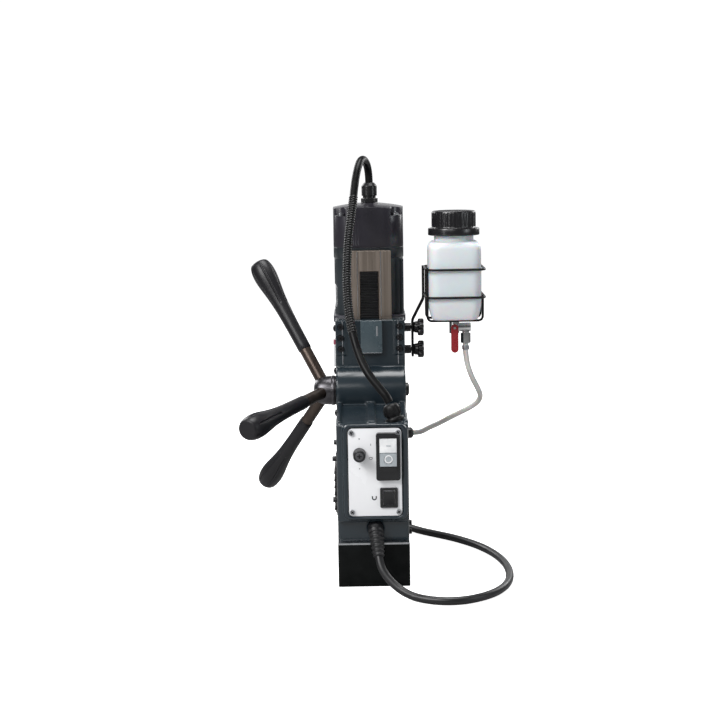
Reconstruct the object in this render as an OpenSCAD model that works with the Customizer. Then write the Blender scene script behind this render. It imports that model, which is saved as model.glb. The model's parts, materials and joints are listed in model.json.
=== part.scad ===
// Magnetic drill press: an electromagnet base, a cast frame with a control panel,
// a drill carriage fed down a dovetail by rack and pinion, a three-arm feed handle
// and a coolant bottle in a wire basket. Millimetres, +Z up.
// The origin is the centre of the magnet's lower face. The panel faces -Y, the
// spindle is at +Y, the feed handle at -X and the bottle at +X.

/* [Magnet base] */
// Width of the magnet along X
magnet_w = 80; // [78:1:82]
// Length of the magnet along Y
magnet_l = 165; // [163:1:167]
// Height of the magnet's upper face
magnet_h = 50; // [48:1:52]

/* [Frame] */
// Height of the top of the foot casting
foot_top_z = 75; // [73:1:77]
// Height of the shelf over the panel box
shelf_z = 183; // [180:1:186]
// Height of the top of the guide head
guide_top_z = 282; // [278:1:286]
// Width of the guide head along X
guide_w = 83; // [82:0.5:84]
// Y of the frame's machined front face
front_y = 78; // [77:0.5:79]
// Y of the panel box's rear wall
box_rear_y = -79; // [-80:0.5:-78]

/* [Feed] */
// Y of the pinion axis
pinion_y = 68; // [67.5:0.1:68]
// Height of the pinion axis
pinion_z = 197; // [194:1:200]
// Gear module of the rack and pinion
feed_module = 1; // [1:0.01:1.02]
// Number of teeth on the pinion
pinion_teeth = 24; // [23:1:24]
// Half width of the slide's rear face
slide_half_w = 26.5; // [26:0.1:27]
// Height of the slide's top end
slide_top_z = 363; // [358:1:368]

/* [Feed handle] */
// X of the point where the three arm axes meet
arm_root_x = -52.6; // [-54:0.1:-51]
// Length from that point to the tip of a grip
arm_l = 183; // [170:1:195]
// Angle of the arms away from the plane square to the shaft
arm_tilt = 27; // [24:1:30]
// Turn of the first arm from vertical, towards the panel side
arm_phase = -25; // [-60:1:60]
// Diameter of the steel rods
rod_d = 14.4; // [13:0.1:14.5]
// Length of a grip
grip_l = 112; // [100:1:120]
// Largest diameter of a grip
grip_d = 28.5; // [26:0.5:32]

/* [Motor] */
// Width of the motor cap
motor_w = 85.4; // [84:0.2:86]
// Y of the motor axis
motor_y = 136; // [135.8:0.1:136.2]
// Height of the motor's lower flange
flange_z = 276; // [276:0.5:277]
// Height of the seam between motor body and cap
cap_z = 353; // [348:1:358]
// Height of the top of the motor cap
motor_top_z = 419; // [414:1:424]

/* [Spindle] */
// Y of the spindle axis
spindle_y = 142; // [141.8:0.1:142.2]
// Height of the spindle's lower end
spindle_end_z = 118; // [116:1:120]
// Bore that takes the cutter shank
shank_d = 19.05; // [19:0.05:19.1]
// Depth of the shank bore
shank_depth = 36; // [30:1:38]

/* [Coolant] */
// X of the bottle's axis
bottle_x = 101; // [100:0.5:102]
// Y of the bottle's axis
bottle_y = 70; // [69:0.5:71]
// Width of the square bottle
bottle_w = 62; // [60:1:63]
// Height of the bottle's bottom
bottle_z = 282; // [281:0.5:283]
// Diameter of the basket wire
wire_d = 2.8; // [2.6:0.1:3]
// Diameter of the coolant hose
hose_d = 6.6; // [6:0.1:7]

/* [Leads] */
// Diameter of the mains lead
mains_d = 9; // [8:0.5:9.5]
// Diameter of the wrapped motor lead
lead_d = 10; // [9:0.5:10.5]

/* [Hidden] */

$fn = 64;
eps = 0.01;

paint = [0.17, 0.21, 0.25];
black = [0.08, 0.08, 0.09];
steel = [0.62, 0.63, 0.65];
bronze = [0.50, 0.44, 0.38];
brass = [0.72, 0.58, 0.30];
panel_white = [0.93, 0.93, 0.93];
copper = [0.70, 0.40, 0.22];

// Magnet
magnet_plate_t = 2;
coil_slot_w = 14;
coil_slot_depth = 30;
pole_w = 30;
pole_l = 115;
potting_t = 4;

// Frame
wall = 6;
frame_half_w = 40;
foot_rear_y = -72;
tower_rear_y = 44;
head_rear_y = 62;
bulge_r = 29.5;
rim_y = -82.5;
panel_x = 2.5;
panel_z = 130;
panel_w = 59;
panel_h = 99;
panel_t = 2;
panel_y = box_rear_y - panel_t;
pad_x = 35;
pad_w = 12;
bolt_z = [247.8, 261, 274.2];
bolt_d = 4;
gland_z = 64.5;
lead_gland_at = [25, -60, shelf_z + 3.2];
lead_gland_turn = [0, 20, 147];

// Dovetail
slide_y = front_y + 1;
strip_y = front_y + 12.5;
carriage_y = front_y + 14.5;
dovetail_slope = tan(30);
flank_gap = 0.3;
gib_t = 2.5;
strip_z = magnet_h + 2;
slide_z = 165;
gib_screw_z = [62, 114, 166, 218, 270];
gib_screw_y = front_y + 6.5;
groove_half_w = 11.5;
groove_depth = 8;
groove_top_z = 338.6;

// Feed gears
pitch_r = feed_module * pinion_teeth / 2;
tooth_pitch = PI * feed_module;
rack_pitch_y = pinion_y + pitch_r;
tip_h = 0.85 * feed_module;
root_h = 1.2 * feed_module;
shaft_d = 12.8;
stub_d = 10;
bush_d = 18.2;
bush_end_x = 38;

// Hub and grip
hub_l = 25.5;
hub_x = -43;
hub_d = 36;
rod_start = 13;
grip_peak = 17;
neck_r = 7.9;

// Control pieces
fuse_x = -14.6;
fuse_z = 151;
switch_x = 17;
switch_z = 148.4;
switch_w = 26.5;
switch_h = 53;
button_w = 18.6;
start_z = 161.3;
stop_z = 145.8;
start_h = 15.4;
stop_h = 14.4;
rocker_x = 17.4;
rocker_z = 101.4;

// Carriage
flange_top_z = flange_z + 8;
bearing_z = 396;
cap_h = motor_top_z - cap_z;
mid_y = motor_y - 21.4;
motor_pinion_teeth = 10;
mid_gear_teeth = 36;
mid_pinion_teeth = 14;
spindle_gear_teeth = 45;
first_module = 2 * (motor_y - mid_y) / (motor_pinion_teeth + mid_gear_teeth);
second_module = 2 * (spindle_y - mid_y) / (mid_pinion_teeth + spindle_gear_teeth);
housing_w = 84;
housing_z = 200;
sleeve_z = 140;
sleeve_d = 62;
ring_z = 122;
ring_h = 13;
ring_d = 46;
ring_gap = 0.05;
spindle_d = 30;
grub_z = ring_z + ring_h + 2.3;
outlet_x = 114.6;
valve_z = 271;

// Star knobs
knob_y = 110;
knob_upper_z = 266.8;
knob_lower_z = 239.5;
bracket_x = 52.3;

// Basket
upright_r = bottle_w / 2 + wire_d / 2 + 0.2;
ring_low_z = 309.6;
ring_high_z = 342.3;
basket_floor_z = bottle_z - wire_d / 2;

// Coiled part of the mains lead behind the machine, and its plug
hank_y = 290;
hank_l = 218;
hank_w = 64;
hank_h = 37;
tie_y = 312;
plug_x = -14;
plug_y = 222;
plug_d = 36;

// Routes, round numbers chosen by hand
mains_route = [
    [5, -104, 41], [8, -111, 30], [16, -118, 19], [28, -126, 10], [42, -136, 5.5],
    [58, -145, 4.5], [76, -150, 4.5], [95, -148, 4.5], [113, -139, 4.5],
    [129, -125, 4.5], [141, -107, 4.5], [149, -86, 4.5], [153, -63, 4.5],
    [154, -39, 4.5], [152, -15, 4.5], [147, 9, 4.5], [139, 32, 4.5],
    [128, 54, 4.5], [114, 74, 4.5], [98, 92, 4.5], [80, 108, 4.5],
    [62, 124, 4.5], [47, 142, 4.5], [36, 162, 4.5], [29, 184, 4.5],
    [27, 206, 4.5]
];
lead_route = [
    [2, 136, 444.3], [1.5, 134, 453.5], [0, 128, 463], [-2.5, 119, 469],
    [-5.5, 108, 471], [-8.5, 97.5, 468.5], [-11.5, 88, 461], [-14, 80, 450],
    [-16, 72.5, 436.5], [-18, 63, 420], [-21, 50, 399], [-24, 39, 376],
    [-25.5, 28, 354], [-26, 16, 331], [-25, 4, 308], [-22, -8, 286],
    [-17, -20, 265], [-10, -33, 246], [-1, -43, 231], [9, -50, 219],
    [16, -54.5, 210.5], [19.6, -56.5, 203.8]
];
hose_route = [
    [114.6, 70, 252], [114.6, 70, 241], [117, 72.5, 225], [123, 78, 208],
    [130, 86, 194], [134, 95, 183], [132, 104, 174], [124, 112, 166],
    [112, 120, 158], [99, 127, 150], [86, 133, 142], [73, 138, 135],
    [63, 141, 129.5], [54, 142, 128], [46, 142, 128]
];

function unit(v) = v / norm(v);
function heading(path, i) =
    unit(path[min(i + 1, len(path) - 1)] - path[max(i - 1, 0)]);
function ring_points(path, i, r, sides, up) =
    let (t = heading(path, i), n = unit(cross(t, up)), b = cross(t, n))
    [for (k = [0:sides - 1]) path[i] + r * (cos(360 * k / sides) * n + sin(360 * k / sides) * b)];

// A round tube swept along a route; up is a direction that the route never follows
module tube_along(path, d, sides, up) {
    rings = len(path);
    points = [for (i = [0:rings - 1]) each ring_points(path, i, d / 2, sides, up)];
    skin = [for (i = [0:rings - 2], k = [0:sides - 1])
        let (a = i * sides + k, b = i * sides + (k + 1) % sides)
        each [[a, b, b + sides], [a, b + sides, a + sides]]];
    start_cap = [[for (k = [0:sides - 1]) sides - 1 - k]];
    end_cap = [[for (k = [0:sides - 1]) (rings - 1) * sides + k]];
    polyhedron(points, concat(skin, start_cap, end_cap));
}

module round_rect(w, h, r) {
    square([w - 2 * r, h], center = true);
    square([w, h - 2 * r], center = true);
    for (x = [-1, 1], y = [-1, 1])
        translate([x * (w / 2 - r), y * (h / 2 - r)])
            circle(r);
}

module round_block(w, l, h, r) {
    linear_extrude(h)
        round_rect(w, l, r);
}

// A cylinder whose axis runs along +X from x = 0
module rod_x(d, l) {
    rotate([0, 90, 0])
        cylinder(d = d, h = l);
}

// A cylinder whose axis runs along -Y from y = 0
module rod_out(d, l) {
    rotate([90, 0, 0])
        cylinder(d = d, h = l);
}

// A rounded plate in the XZ plane, from y = 0 towards the panel side
module round_plate_out(w, h, t, r) {
    rotate([90, 0, 0])
        linear_extrude(t)
            round_rect(w, h, r);
}

// ---- Magnet base ----

module coil_ring(grow, depth) {
    linear_extrude(depth)
        difference() {
            square([pole_w + 2 * coil_slot_w + grow, pole_l + 2 * coil_slot_w + grow], center = true);
            square([pole_w - grow, pole_l - grow], center = true);
        }
}

module magnet_body() {
    color(black)
        difference() {
            round_block(magnet_w, magnet_l, magnet_h - magnet_plate_t, 1.5);
            translate([0, 0, -eps])
                coil_ring(0, coil_slot_depth + eps);
        }
}

module magnet_coil() {
    color(copper)
        translate([0, 0, potting_t + 1])
            coil_ring(-1, coil_slot_depth - potting_t - 2);
}

module magnet_potting() {
    color([0.12, 0.12, 0.12])
        translate([0, 0, 0.4])
            coil_ring(0, potting_t);
}

module magnet_top_plate() {
    color(steel)
        translate([0, 0, magnet_h - magnet_plate_t])
            round_block(magnet_w - 0.6, magnet_l - 0.6, magnet_plate_t, 1.5);
}

// ---- Cast frame ----

module frame_outside() {
    foot_l = front_y - foot_rear_y;
    translate([0, (front_y + foot_rear_y) / 2, magnet_h])
        round_block(2 * frame_half_w, foot_l, foot_top_z - magnet_h, 4);
    box_l = front_y - box_rear_y;
    translate([0, (front_y + box_rear_y) / 2, foot_top_z - 2])
        round_block(2 * frame_half_w, box_l, shelf_z - foot_top_z + 2, 4);
    translate([-frame_half_w, tower_rear_y, foot_top_z])
        cube([2 * frame_half_w, front_y - tower_rear_y, pinion_z - foot_top_z]);
    intersection() {
        translate([-guide_w / 2, pinion_y, pinion_z])
            rod_x(2 * bulge_r, guide_w);
        translate([-guide_w / 2, 0, 0])
            cube([guide_w, front_y, guide_top_z]);
    }
    translate([-guide_w / 2, head_rear_y, pinion_z])
        cube([guide_w, front_y - head_rear_y, guide_top_z - pinion_z]);
    for (x = [-1, 1])
        translate([x * pad_x - pad_w / 2, head_rear_y - 1.5, bolt_z[0] - 7])
            cube([pad_w, 2, guide_top_z - bolt_z[0] + 7]);
    shelf_ribs();
    panel_rim();
    // Slanted boss of the lower lead gland
    translate(lead_gland_at)
        rotate(lead_gland_turn)
            translate([0, 0, -9])
                cylinder(d = 19, h = 9);
}

module shelf_ribs() {
    for (x = [-frame_half_w, -5, frame_half_w - 5])
        translate([x, box_rear_y + 6, shelf_z - 1])
            cube([x == -5 ? 9 : 5, tower_rear_y - box_rear_y, 4.5]);
}

module panel_rim() {
    translate([panel_x + 0.3, box_rear_y + 1, panel_z + 0.5])
        difference() {
            round_plate_out(71.5, 108, box_rear_y - rim_y + 1, 9);
            translate([0, 1, 0])
                round_plate_out(panel_w + 2, panel_h + 2, 10, 6);
        }
}

module frame_casting() {
    cavity_z = foot_top_z + 1;
    color(paint)
        difference() {
            frame_outside();
            // Room for the electronics, open to the panel and to the side vents
            translate([-frame_half_w + wall, box_rear_y + wall, cavity_z])
                cube([2 * (frame_half_w - wall), tower_rear_y - box_rear_y - 2 * wall, shelf_z - wall - cavity_z]);
            translate([panel_x - 26, box_rear_y - eps, panel_z - 43])
                cube([52, wall + 2 * eps, 86]);
            translate([-frame_half_w - eps, -40, foot_top_z + 1])
                cube([wall + 2 * eps, 60, 50]);
            // Pinion bore, bush seats and the window through which the pinion meets the rack
            translate([-guide_w / 2 - eps, pinion_y, pinion_z])
                rod_x(bush_d, guide_w / 2 + bush_end_x + eps);
            translate([-13, pinion_y - 17, pinion_z - 17])
                cube([26, front_y - pinion_y + 18, 34]);
            // Gland holes
            translate([2, foot_rear_y + 20, gland_z])
                rod_out(16, 21);
            // Guide bolt holes with counterbores in the pads
            for (x = [-pad_x, pad_x], z = bolt_z)
                translate([x, front_y + eps, z]) {
                    rod_out(bolt_d + 0.2, 30);
                    translate([0, -(front_y - head_rear_y) + 1, 0])
                        rod_out(7.2, 5);
                }
        }
}

module vent_cover() {
    color(black)
        difference() {
            union() {
                translate([-frame_half_w - 1.2, -44, foot_top_z - 3])
                    cube([1.2, 68, 60]);
                for (i = [0:6])
                    translate([-frame_half_w - 2.4, -40, foot_top_z - 1 + 8.4 * i])
                        cube([2, 60, 3.6]);
            }
            for (i = [0:5])
                translate([-frame_half_w - 3, -37, foot_top_z + 3.4 + 8.4 * i])
                    cube([4, 54, 3]);
        }
}

module stop_block() {
    color([0.42, 0.48, 0.52])
        translate([-11.3, head_rear_y - 6, 242.4])
            difference() {
                cube([25.7, 6, guide_top_z - 242.4]);
                for (z = [9, 30])
                    translate([12.85, 3, z])
                        rod_out(4.5, 4);
            }
}

// ---- Dovetail guide ----

// X of the slide's flank at height y of the dovetail, moved outwards by a gap
function flank_x(y, gap) =
    slide_half_w - (y - slide_y) * dovetail_slope + gap / cos(30);

module strip_outline(gap) {
    polygon([
        [flank_x(front_y, gap), front_y],
        [guide_w / 2, front_y],
        [guide_w / 2, strip_y],
        [flank_x(strip_y, gap), strip_y]
    ]);
}

module guide_strips() {
    strip_h = guide_top_z - strip_z;
    color(steel) {
        difference() {
            translate([0, 0, strip_z])
                linear_extrude(strip_h)
                    strip_outline(flank_gap);
            for (z = bolt_z)
                translate([pad_x, strip_y - 3, z])
                    rod_out(bolt_d + 0.2, 12);
        }
        difference() {
            translate([0, 0, strip_z])
                linear_extrude(strip_h)
                    mirror([1, 0])
                        strip_outline(flank_gap + gib_t);
            for (z = bolt_z)
                translate([-pad_x, strip_y - 3, z])
                    rod_out(bolt_d + 0.2, 12);
            for (z = gib_screw_z)
                translate([-guide_w / 2 - 1, gib_screw_y, z])
                    rod_x(4.2, 18);
        }
    }
}

module gib_strip() {
    color(brass)
        translate([0, 0, strip_z + 1])
            linear_extrude(guide_top_z - strip_z - 2)
                polygon([
                    [-flank_x(slide_y, flank_gap), slide_y],
                    [-flank_x(strip_y - 0.5, flank_gap), strip_y - 0.5],
                    [-flank_x(strip_y - 0.5, flank_gap + gib_t - 0.05), strip_y - 0.5],
                    [-flank_x(slide_y, flank_gap + gib_t - 0.05), slide_y]
                ]);
}

module gib_screws() {
    color(steel)
        for (z = gib_screw_z)
            translate([-guide_w / 2 - 3, gib_screw_y, z]) {
                rod_x(4, 16.2);
                translate([0.6, 0, 0])
                    rotate([0, 90, 0])
                        cylinder(d = 8, h = 2.4, $fn = 6);
            }
}

module guide_bolts() {
    color(black)
        for (x = [-pad_x, pad_x], z = bolt_z)
            translate([x, head_rear_y + 0.9, z])
                difference() {
                    union() {
                        rod_out(7, 4);
                        translate([0, 22, 0])
                            rod_out(bolt_d, 23);
                    }
                    translate([0, -2, 0])
                        rotate([90, 0, 0])
                            cylinder(d = 3.4, h = 3, $fn = 6);
                }
}

// ---- Control panel ----

module control_panel() {
    color(panel_white)
        difference() {
            translate([panel_x, box_rear_y, panel_z])
                round_plate_out(panel_w, panel_h, panel_t, 5);
            translate([fuse_x, box_rear_y + 1, fuse_z])
                rod_out(12.2, 5);
            translate([switch_x - 11, panel_y - 1, switch_z - 24])
                cube([22, 4, 48]);
            translate([rocker_x - 8.2, panel_y - 1, rocker_z - 9.7])
                cube([16.4, 4, 19.4]);
            translate([panel_x, box_rear_y + 1, panel_z])
                panel_corners()
                    rod_out(3.1, 5);
        }
}

module panel_corners() {
    for (x = [-1, 1], z = [-1, 1])
        translate([x * 25.8, 0, z * 44.8])
            children();
}

module panel_screws() {
    color(steel)
        translate([panel_x, panel_y, panel_z])
            panel_corners()
                difference() {
                    union() {
                        rod_out(6, 1.8);
                        translate([0, 2, 0])
                            rod_out(3, 3);
                    }
                    for (turn = [0, 90])
                        rotate([0, turn, 0])
                            translate([-2, -3, -0.4])
                                cube([4, 2, 0.8]);
                }
}

module circuit_board() {
    color([0.10, 0.35, 0.20])
        translate([-32, -42, 78])
            cube([65.5, 1.6, 92]);
    color(brass)
        for (x = [-29, 31.2], z = [81, 167])
            translate([x, -42, z])
                rod_out(4.4, -42 - box_rear_y - wall);
    color(black) {
        translate([-24, -40.4 - eps, 88])
            cube([26, 22, 24]);
        translate([8, -40.4 - eps, 90])
            cube([16, 14, 20]);
        translate([-20, -40.4 - eps, 128])
            cube([36, 10, 14]);
        for (x = [-18, -4, 10])
            translate([x, -40.4 - eps, 154])
                rotate([-90, 0, 0])
                    cylinder(d = 9, h = 16);
    }
}

module fuse_holder() {
    color(black)
        translate([fuse_x, panel_y, fuse_z])
            difference() {
                union() {
                    rod_out(16, 2.5);
                    translate([0, 22, 0])
                        rod_out(12, 23);
                }
                translate([0, 14, 0])
                    rod_out(9, 20);
            }
}

module fuse_cap() {
    color(black)
        translate([fuse_x, panel_y - 2.7, fuse_z])
            difference() {
                union() {
                    rod_out(13.5, 11);
                    translate([0, 12, 0])
                        rod_out(8, 13);
                }
                for (turn = [0, 90])
                    rotate([0, turn, 0])
                        translate([-4.5, -12, -0.7])
                            cube([9, 2.5, 1.4]);
            }
}

module switch_housing() {
    color(black)
        translate([switch_x, panel_y, switch_z])
            difference() {
                union() {
                    round_plate_out(switch_w, switch_h, 6, 3);
                    translate([-10.5, -1, -23.5])
                        cube([21, 26, 47]);
                    translate([-button_w / 2 + 0.1, -8, stop_z - stop_h / 2 - switch_z - 6])
                        cube([button_w - 0.2, 7, 5]);
                }
                translate([-button_w / 2 - 0.3, -9, stop_z - stop_h / 2 - switch_z - 0.5])
                    cube([button_w + 0.6, 18, start_h + stop_h + 2]);
                // Clear of the nearest panel screw
                translate([panel_x + 25.8 - switch_x, 1, panel_z + 44.8 - switch_z])
                    rod_out(7, 10);
            }
}

module push_button(z, h, tall) {
    translate([switch_x - button_w / 2, panel_y - tall, z - h / 2])
        cube([button_w, tall + 2, h]);
    translate([switch_x, panel_y + 4.5, z])
        rod_out(6, 4);
}

module start_button() {
    color([0.90, 0.90, 0.88])
        push_button(start_z, start_h, 7.5);
}

module stop_button() {
    color([0.70, 0.71, 0.72])
        difference() {
            push_button(stop_z, stop_h, 9.5);
            translate([switch_x, panel_y - 8.7, stop_z])
                rotate([90, 0, 0])
                    difference() {
                        cylinder(d = 10, h = 2);
                        translate([0, 0, -1])
                            cylinder(d = 7.6, h = 4);
                    }
        }
}

module rocker_housing() {
    color(black)
        translate([rocker_x, panel_y, rocker_z])
            difference() {
                union() {
                    round_plate_out(19.6, 22.5, 2, 1.5);
                    translate([-8, -0.5, -9.5])
                        cube([16, 20, 19]);
                }
                translate([-6.6, -3, -8.8])
                    cube([13.2, 13, 17.6]);
            }
}

// The rocker's centre of turn is at its pin
module magnet_rocker() {
    color(black)
        translate([rocker_x, panel_y + 2, rocker_z])
            difference() {
                union() {
                    translate([-6.2, -5.2, -7.8])
                        rotate([0, 90, 0])
                            mirror([1, 0, 0])
                                linear_extrude(12.4)
                                    polygon([[0, 0], [7.8, 1.6], [15.6, 0], [13.6, 6], [2, 6]]);
                    translate([-6.2, 0, 0])
                        rod_x(4, 12.4);
                }
                translate([-1, -6, -6])
                    cube([2, 1.4, 3]);
            }
}

// ---- Feed shaft and handle ----

module pinion_bushes() {
    color(bronze)
        for (x = [-bush_end_x - 2, 16])
            translate([x, pinion_y, pinion_z])
                difference() {
                    rod_x(bush_d - 0.1, bush_end_x - 16);
                    translate([-1, 0, 0])
                        rod_x(shaft_d + 0.1, guide_w);
                }
}

module pinion_end_cap() {
    color(black)
        translate([guide_w / 2, pinion_y, pinion_z]) {
            rod_x(16, 3.5);
            translate([3.5, 0, 0])
                rod_x(12, 1);
        }
}

// Gear with straight-sided teeth; slim makes them thinner, for more backlash
module gear_outline(teeth, mod, slim = 1) {
    pitch = mod * teeth / 2;
    circle(pitch - 1.2 * mod);
    for (i = [0:teeth - 1])
        rotate(360 * i / teeth)
            polygon([
                [pitch - 1.4 * mod, -1.05 * mod * slim],
                [pitch + 0.8 * mod, -0.42 * mod * slim],
                [pitch + 0.8 * mod, 0.42 * mod * slim],
                [pitch - 1.4 * mod, 1.05 * mod * slim]
            ]);
}

module pinion_shaft() {
    color(steel)
        translate([0, pinion_y, pinion_z]) {
            translate([hub_x, 0, 0])
                rod_x(shaft_d, bush_end_x - 0.5 - hub_x);
            translate([arm_root_x - 6, 0, 0])
                rod_x(stub_d, hub_x - arm_root_x + 7);
            translate([-11, 0, 0])
                rotate([0, 90, 0])
                    linear_extrude(22)
                        rotate(90)
                            gear_outline(pinion_teeth, feed_module);
        }
}

// Moves a shape drawn along +Z onto one of the three arms
module on_arm(i) {
    translate([arm_root_x, pinion_y, pinion_z])
        rotate([arm_phase + 120 * i, 0, 0])
            rotate([0, -arm_tilt, 0])
                children();
}

module handle_hub() {
    color([0.20, 0.20, 0.21])
        difference() {
            translate([hub_x, pinion_y, pinion_z])
                rotate([0, -90, 0])
                    rotate_extrude()
                        union() {
                            square([hub_d / 2, 4]);
                            polygon([[0, 0], [hub_d / 2 - 0.6, 4], [hub_d / 2 - 2, 9],
                                     [13.6, 17], [11, 22], [9, hub_l], [0, hub_l]]);
                        }
            translate([hub_x + 1, pinion_y, pinion_z])
                rotate([0, -90, 0])
                    cylinder(d = stub_d + 0.1, h = hub_x - arm_root_x + 8);
            for (i = [0:2])
                on_arm(i)
                    translate([0, 0, rod_start - 0.1])
                        cylinder(d = rod_d + 0.1, h = 40);
        }
}

module handle_rods() {
    color([0.30, 0.28, 0.27])
        for (i = [0:2])
            on_arm(i)
                translate([0, 0, rod_start])
                    cylinder(d = rod_d, h = arm_l - grip_l - rod_start + 60);
}

// Radius of the grip at a distance from its tip: a flat rounded end, then a long waist
function grip_radius(s) =
    s < grip_peak
        ? grip_d / 2 - 4.75 * (1 - sqrt(1 - pow((grip_peak - s) / grip_peak, 2)))
        : neck_r + (grip_d / 2 - neck_r) * pow(1 + pow((s - grip_peak) / 42, 2), -1.8);

grip_stations = concat([0, 1, 3, 6, 11], [for (s = [17:6:grip_l - 3]) s], [grip_l]);

module handle_grips() {
    color(black)
        for (i = [0:2])
            on_arm(i)
                difference() {
                    translate([0, 0, arm_l])
                        mirror([0, 0, 1])
                            rotate_extrude($fn = 40)
                                polygon(concat(
                                    [[0, 0]],
                                    [for (s = grip_stations) [grip_radius(s), s]],
                                    [[0, grip_l]]
                                ));
                    translate([0, 0, arm_l - grip_l - 1])
                        cylinder(d = rod_d + 0.1, h = 61.5);
                }
}

// ---- Carriage ----

module slide_plate() {
    color(bronze)
        difference() {
            translate([0, 0, slide_z])
                linear_extrude(slide_top_z - slide_z)
                    polygon([
                        [-flank_x(slide_y, 0), slide_y],
                        [flank_x(slide_y, 0), slide_y],
                        [flank_x(strip_y, 0), strip_y],
                        [flank_x(strip_y, 0), carriage_y],
                        [-flank_x(strip_y, 0), carriage_y],
                        [-flank_x(strip_y, 0), strip_y]
                    ]);
            translate([-groove_half_w, slide_y - 1, slide_z - 1])
                cube([2 * groove_half_w, groove_depth + 1, groove_top_z - slide_z + 1]);
        }
}

module rack() {
    first = ceil((slide_z + 2 - pinion_z) / tooth_pitch);
    final = floor((groove_top_z - 3 - pinion_z) / tooth_pitch);
    root_y = rack_pitch_y + root_h;
    tip_y = rack_pitch_y - tip_h;
    color(steel) {
        translate([-groove_half_w + 1, root_y, slide_z + 0.5])
            cube([2 * groove_half_w - 2, slide_y + groove_depth - root_y, groove_top_z - slide_z - 1]);
        for (i = [first:final])
            translate([-groove_half_w + 1, 0, pinion_z + (i + 0.5) * tooth_pitch])
                rotate([90, 0, 90])
                    linear_extrude(2 * groove_half_w - 2)
                        polygon([
                            [root_y + eps, -0.33 * tooth_pitch],
                            [tip_y, -0.09 * tooth_pitch],
                            [tip_y, 0.09 * tooth_pitch],
                            [root_y + eps, 0.33 * tooth_pitch]
                        ]);
    }
}

// Outline of the gearbox in plan
module housing_outline(grow) {
    translate([0, (carriage_y + 180) / 2])
        round_rect(housing_w + 2 * grow, 180 - carriage_y + 2 * grow, 12 + grow);
}

module gearbox_housing() {
    cavity_z = housing_z + 8;
    color(paint)
        difference() {
            union() {
                translate([0, 0, housing_z])
                    linear_extrude(flange_z - housing_z)
                        housing_outline(0);
                translate([0, spindle_y, sleeve_z])
                    cylinder(d = sleeve_d, h = housing_z - sleeve_z + 1);
                translate([0, spindle_y, housing_z - 12])
                    cylinder(d1 = sleeve_d, d2 = 74, h = 12 + eps);
                // Flat seat for the slide plate
                translate([-20, carriage_y, slide_z + 10])
                    cube([40, 22, housing_z - slide_z - 8]);
            }
            translate([0, 0, cavity_z])
                linear_extrude(flange_z)
                    housing_outline(-4);
            translate([0, spindle_y, sleeve_z - 1])
                cylinder(d = 47.1, h = 200);
            // Tapped holes for the star knob studs
            for (z = [knob_lower_z, knob_upper_z])
                translate([housing_w / 2 - 5, knob_y, z])
                    rod_x(5.2, 6);
        }
    // Seat for the intermediate shaft
    color(paint)
        translate([0, mid_y, cavity_z - 1])
            difference() {
                cylinder(d = 20, h = 8);
                cylinder(d = 15.2, h = 9);
            }
}

module gearbox_cover() {
    color(black)
        difference() {
            translate([0, 0, flange_z])
                linear_extrude(8)
                    translate([0, (carriage_y + 180) / 2])
                        round_rect(88, 180 - carriage_y, 12);
            translate([0, motor_y, flange_z - 1])
                cylinder(d = 22.1, h = 12);
            translate([0, mid_y, flange_z - 1])
                cylinder(d = 15.1, h = 6);
            translate([0, spindle_y, flange_z - 1])
                cylinder(d = 10, h = 0.5);
        }
}

module motor_outline(grow) {
    translate([0, motor_y])
        round_rect(motor_w - 1.4 + 2 * grow, motor_w - 1.4 + 2 * grow, 24 + grow);
}

module motor_shell() {
    color(black)
        difference() {
            translate([0, 0, flange_top_z])
                linear_extrude(cap_z - flange_top_z)
                    motor_outline(0);
            translate([0, 0, flange_top_z - 1])
                linear_extrude(cap_z)
                    motor_outline(-4);
        }
}

module motor_cap() {
    color([0.20, 0.19, 0.22])
        difference() {
            intersection() {
                translate([0, 0, cap_z])
                    linear_extrude(cap_h)
                        translate([0, motor_y])
                            round_rect(motor_w, motor_w, 26);
                translate([0, motor_y, motor_top_z - 190])
                    sphere(r = 190, $fn = 96);
            }
            translate([0, 0, cap_z - 1])
                linear_extrude(cap_h - 6)
                    difference() {
                        motor_outline(-4);
                        for (x = [-1, 1], y = [-1, 1])
                            translate([x * 33, motor_y + y * 33])
                                circle(d = 22);
                    }
            // Corner pockets for the cap screws
            for (x = [-1, 1], y = [-1, 1])
                translate([x * 38, motor_y + y * 38, motor_top_z - 15])
                    cylinder(d = 23, h = 30);
            for (x = [-1, 1], y = [-1, 1])
                translate([x * 33, motor_y + y * 33, cap_z + 20])
                    cylinder(d = 4.2, h = 60);
            translate([2, motor_y, motor_top_z - 8])
                cylinder(d = 12, h = 12);
        }
    // Seat of the upper bearing
    color([0.20, 0.19, 0.22])
        translate([0, motor_y, bearing_z])
            difference() {
                cylinder(d = 30, h = cap_z + cap_h - 7 - bearing_z + eps);
                translate([0, 0, -1])
                    cylinder(d = 22.1, h = 8.1);
                cylinder(d = 12, h = 9);
            }
}

module cap_screws() {
    color(steel)
        for (x = [-1, 1], y = [-1, 1])
            translate([x * 33, motor_y + y * 33, motor_top_z - 15])
                difference() {
                    union() {
                        cylinder(d = 7, h = 3.5);
                        translate([0, 0, -12])
                            cylinder(d = 4, h = 13);
                    }
                    translate([0, 0, 2])
                        cylinder(d = 3.4, h = 2, $fn = 6);
                }
}

module motor_field() {
    color(copper)
        translate([0, 0, 305])
            linear_extrude(40)
                difference() {
                    motor_outline(-4.05);
                    translate([0, motor_y])
                        circle(d = 46);
                }
}

module brush_holders() {
    color(brass)
        for (x = [-38, 14.5])
            translate([x, motor_y - 5, 366])
                cube([23.5, 10, 12]);
}

// Bearing ring with room between race and shaft filled: inner, outer and balls as one piece
module bearing(inner, outer, h) {
    difference() {
        cylinder(d = outer, h = h);
        translate([0, 0, -1])
            cylinder(d = inner, h = h + 2);
    }
}

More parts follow.
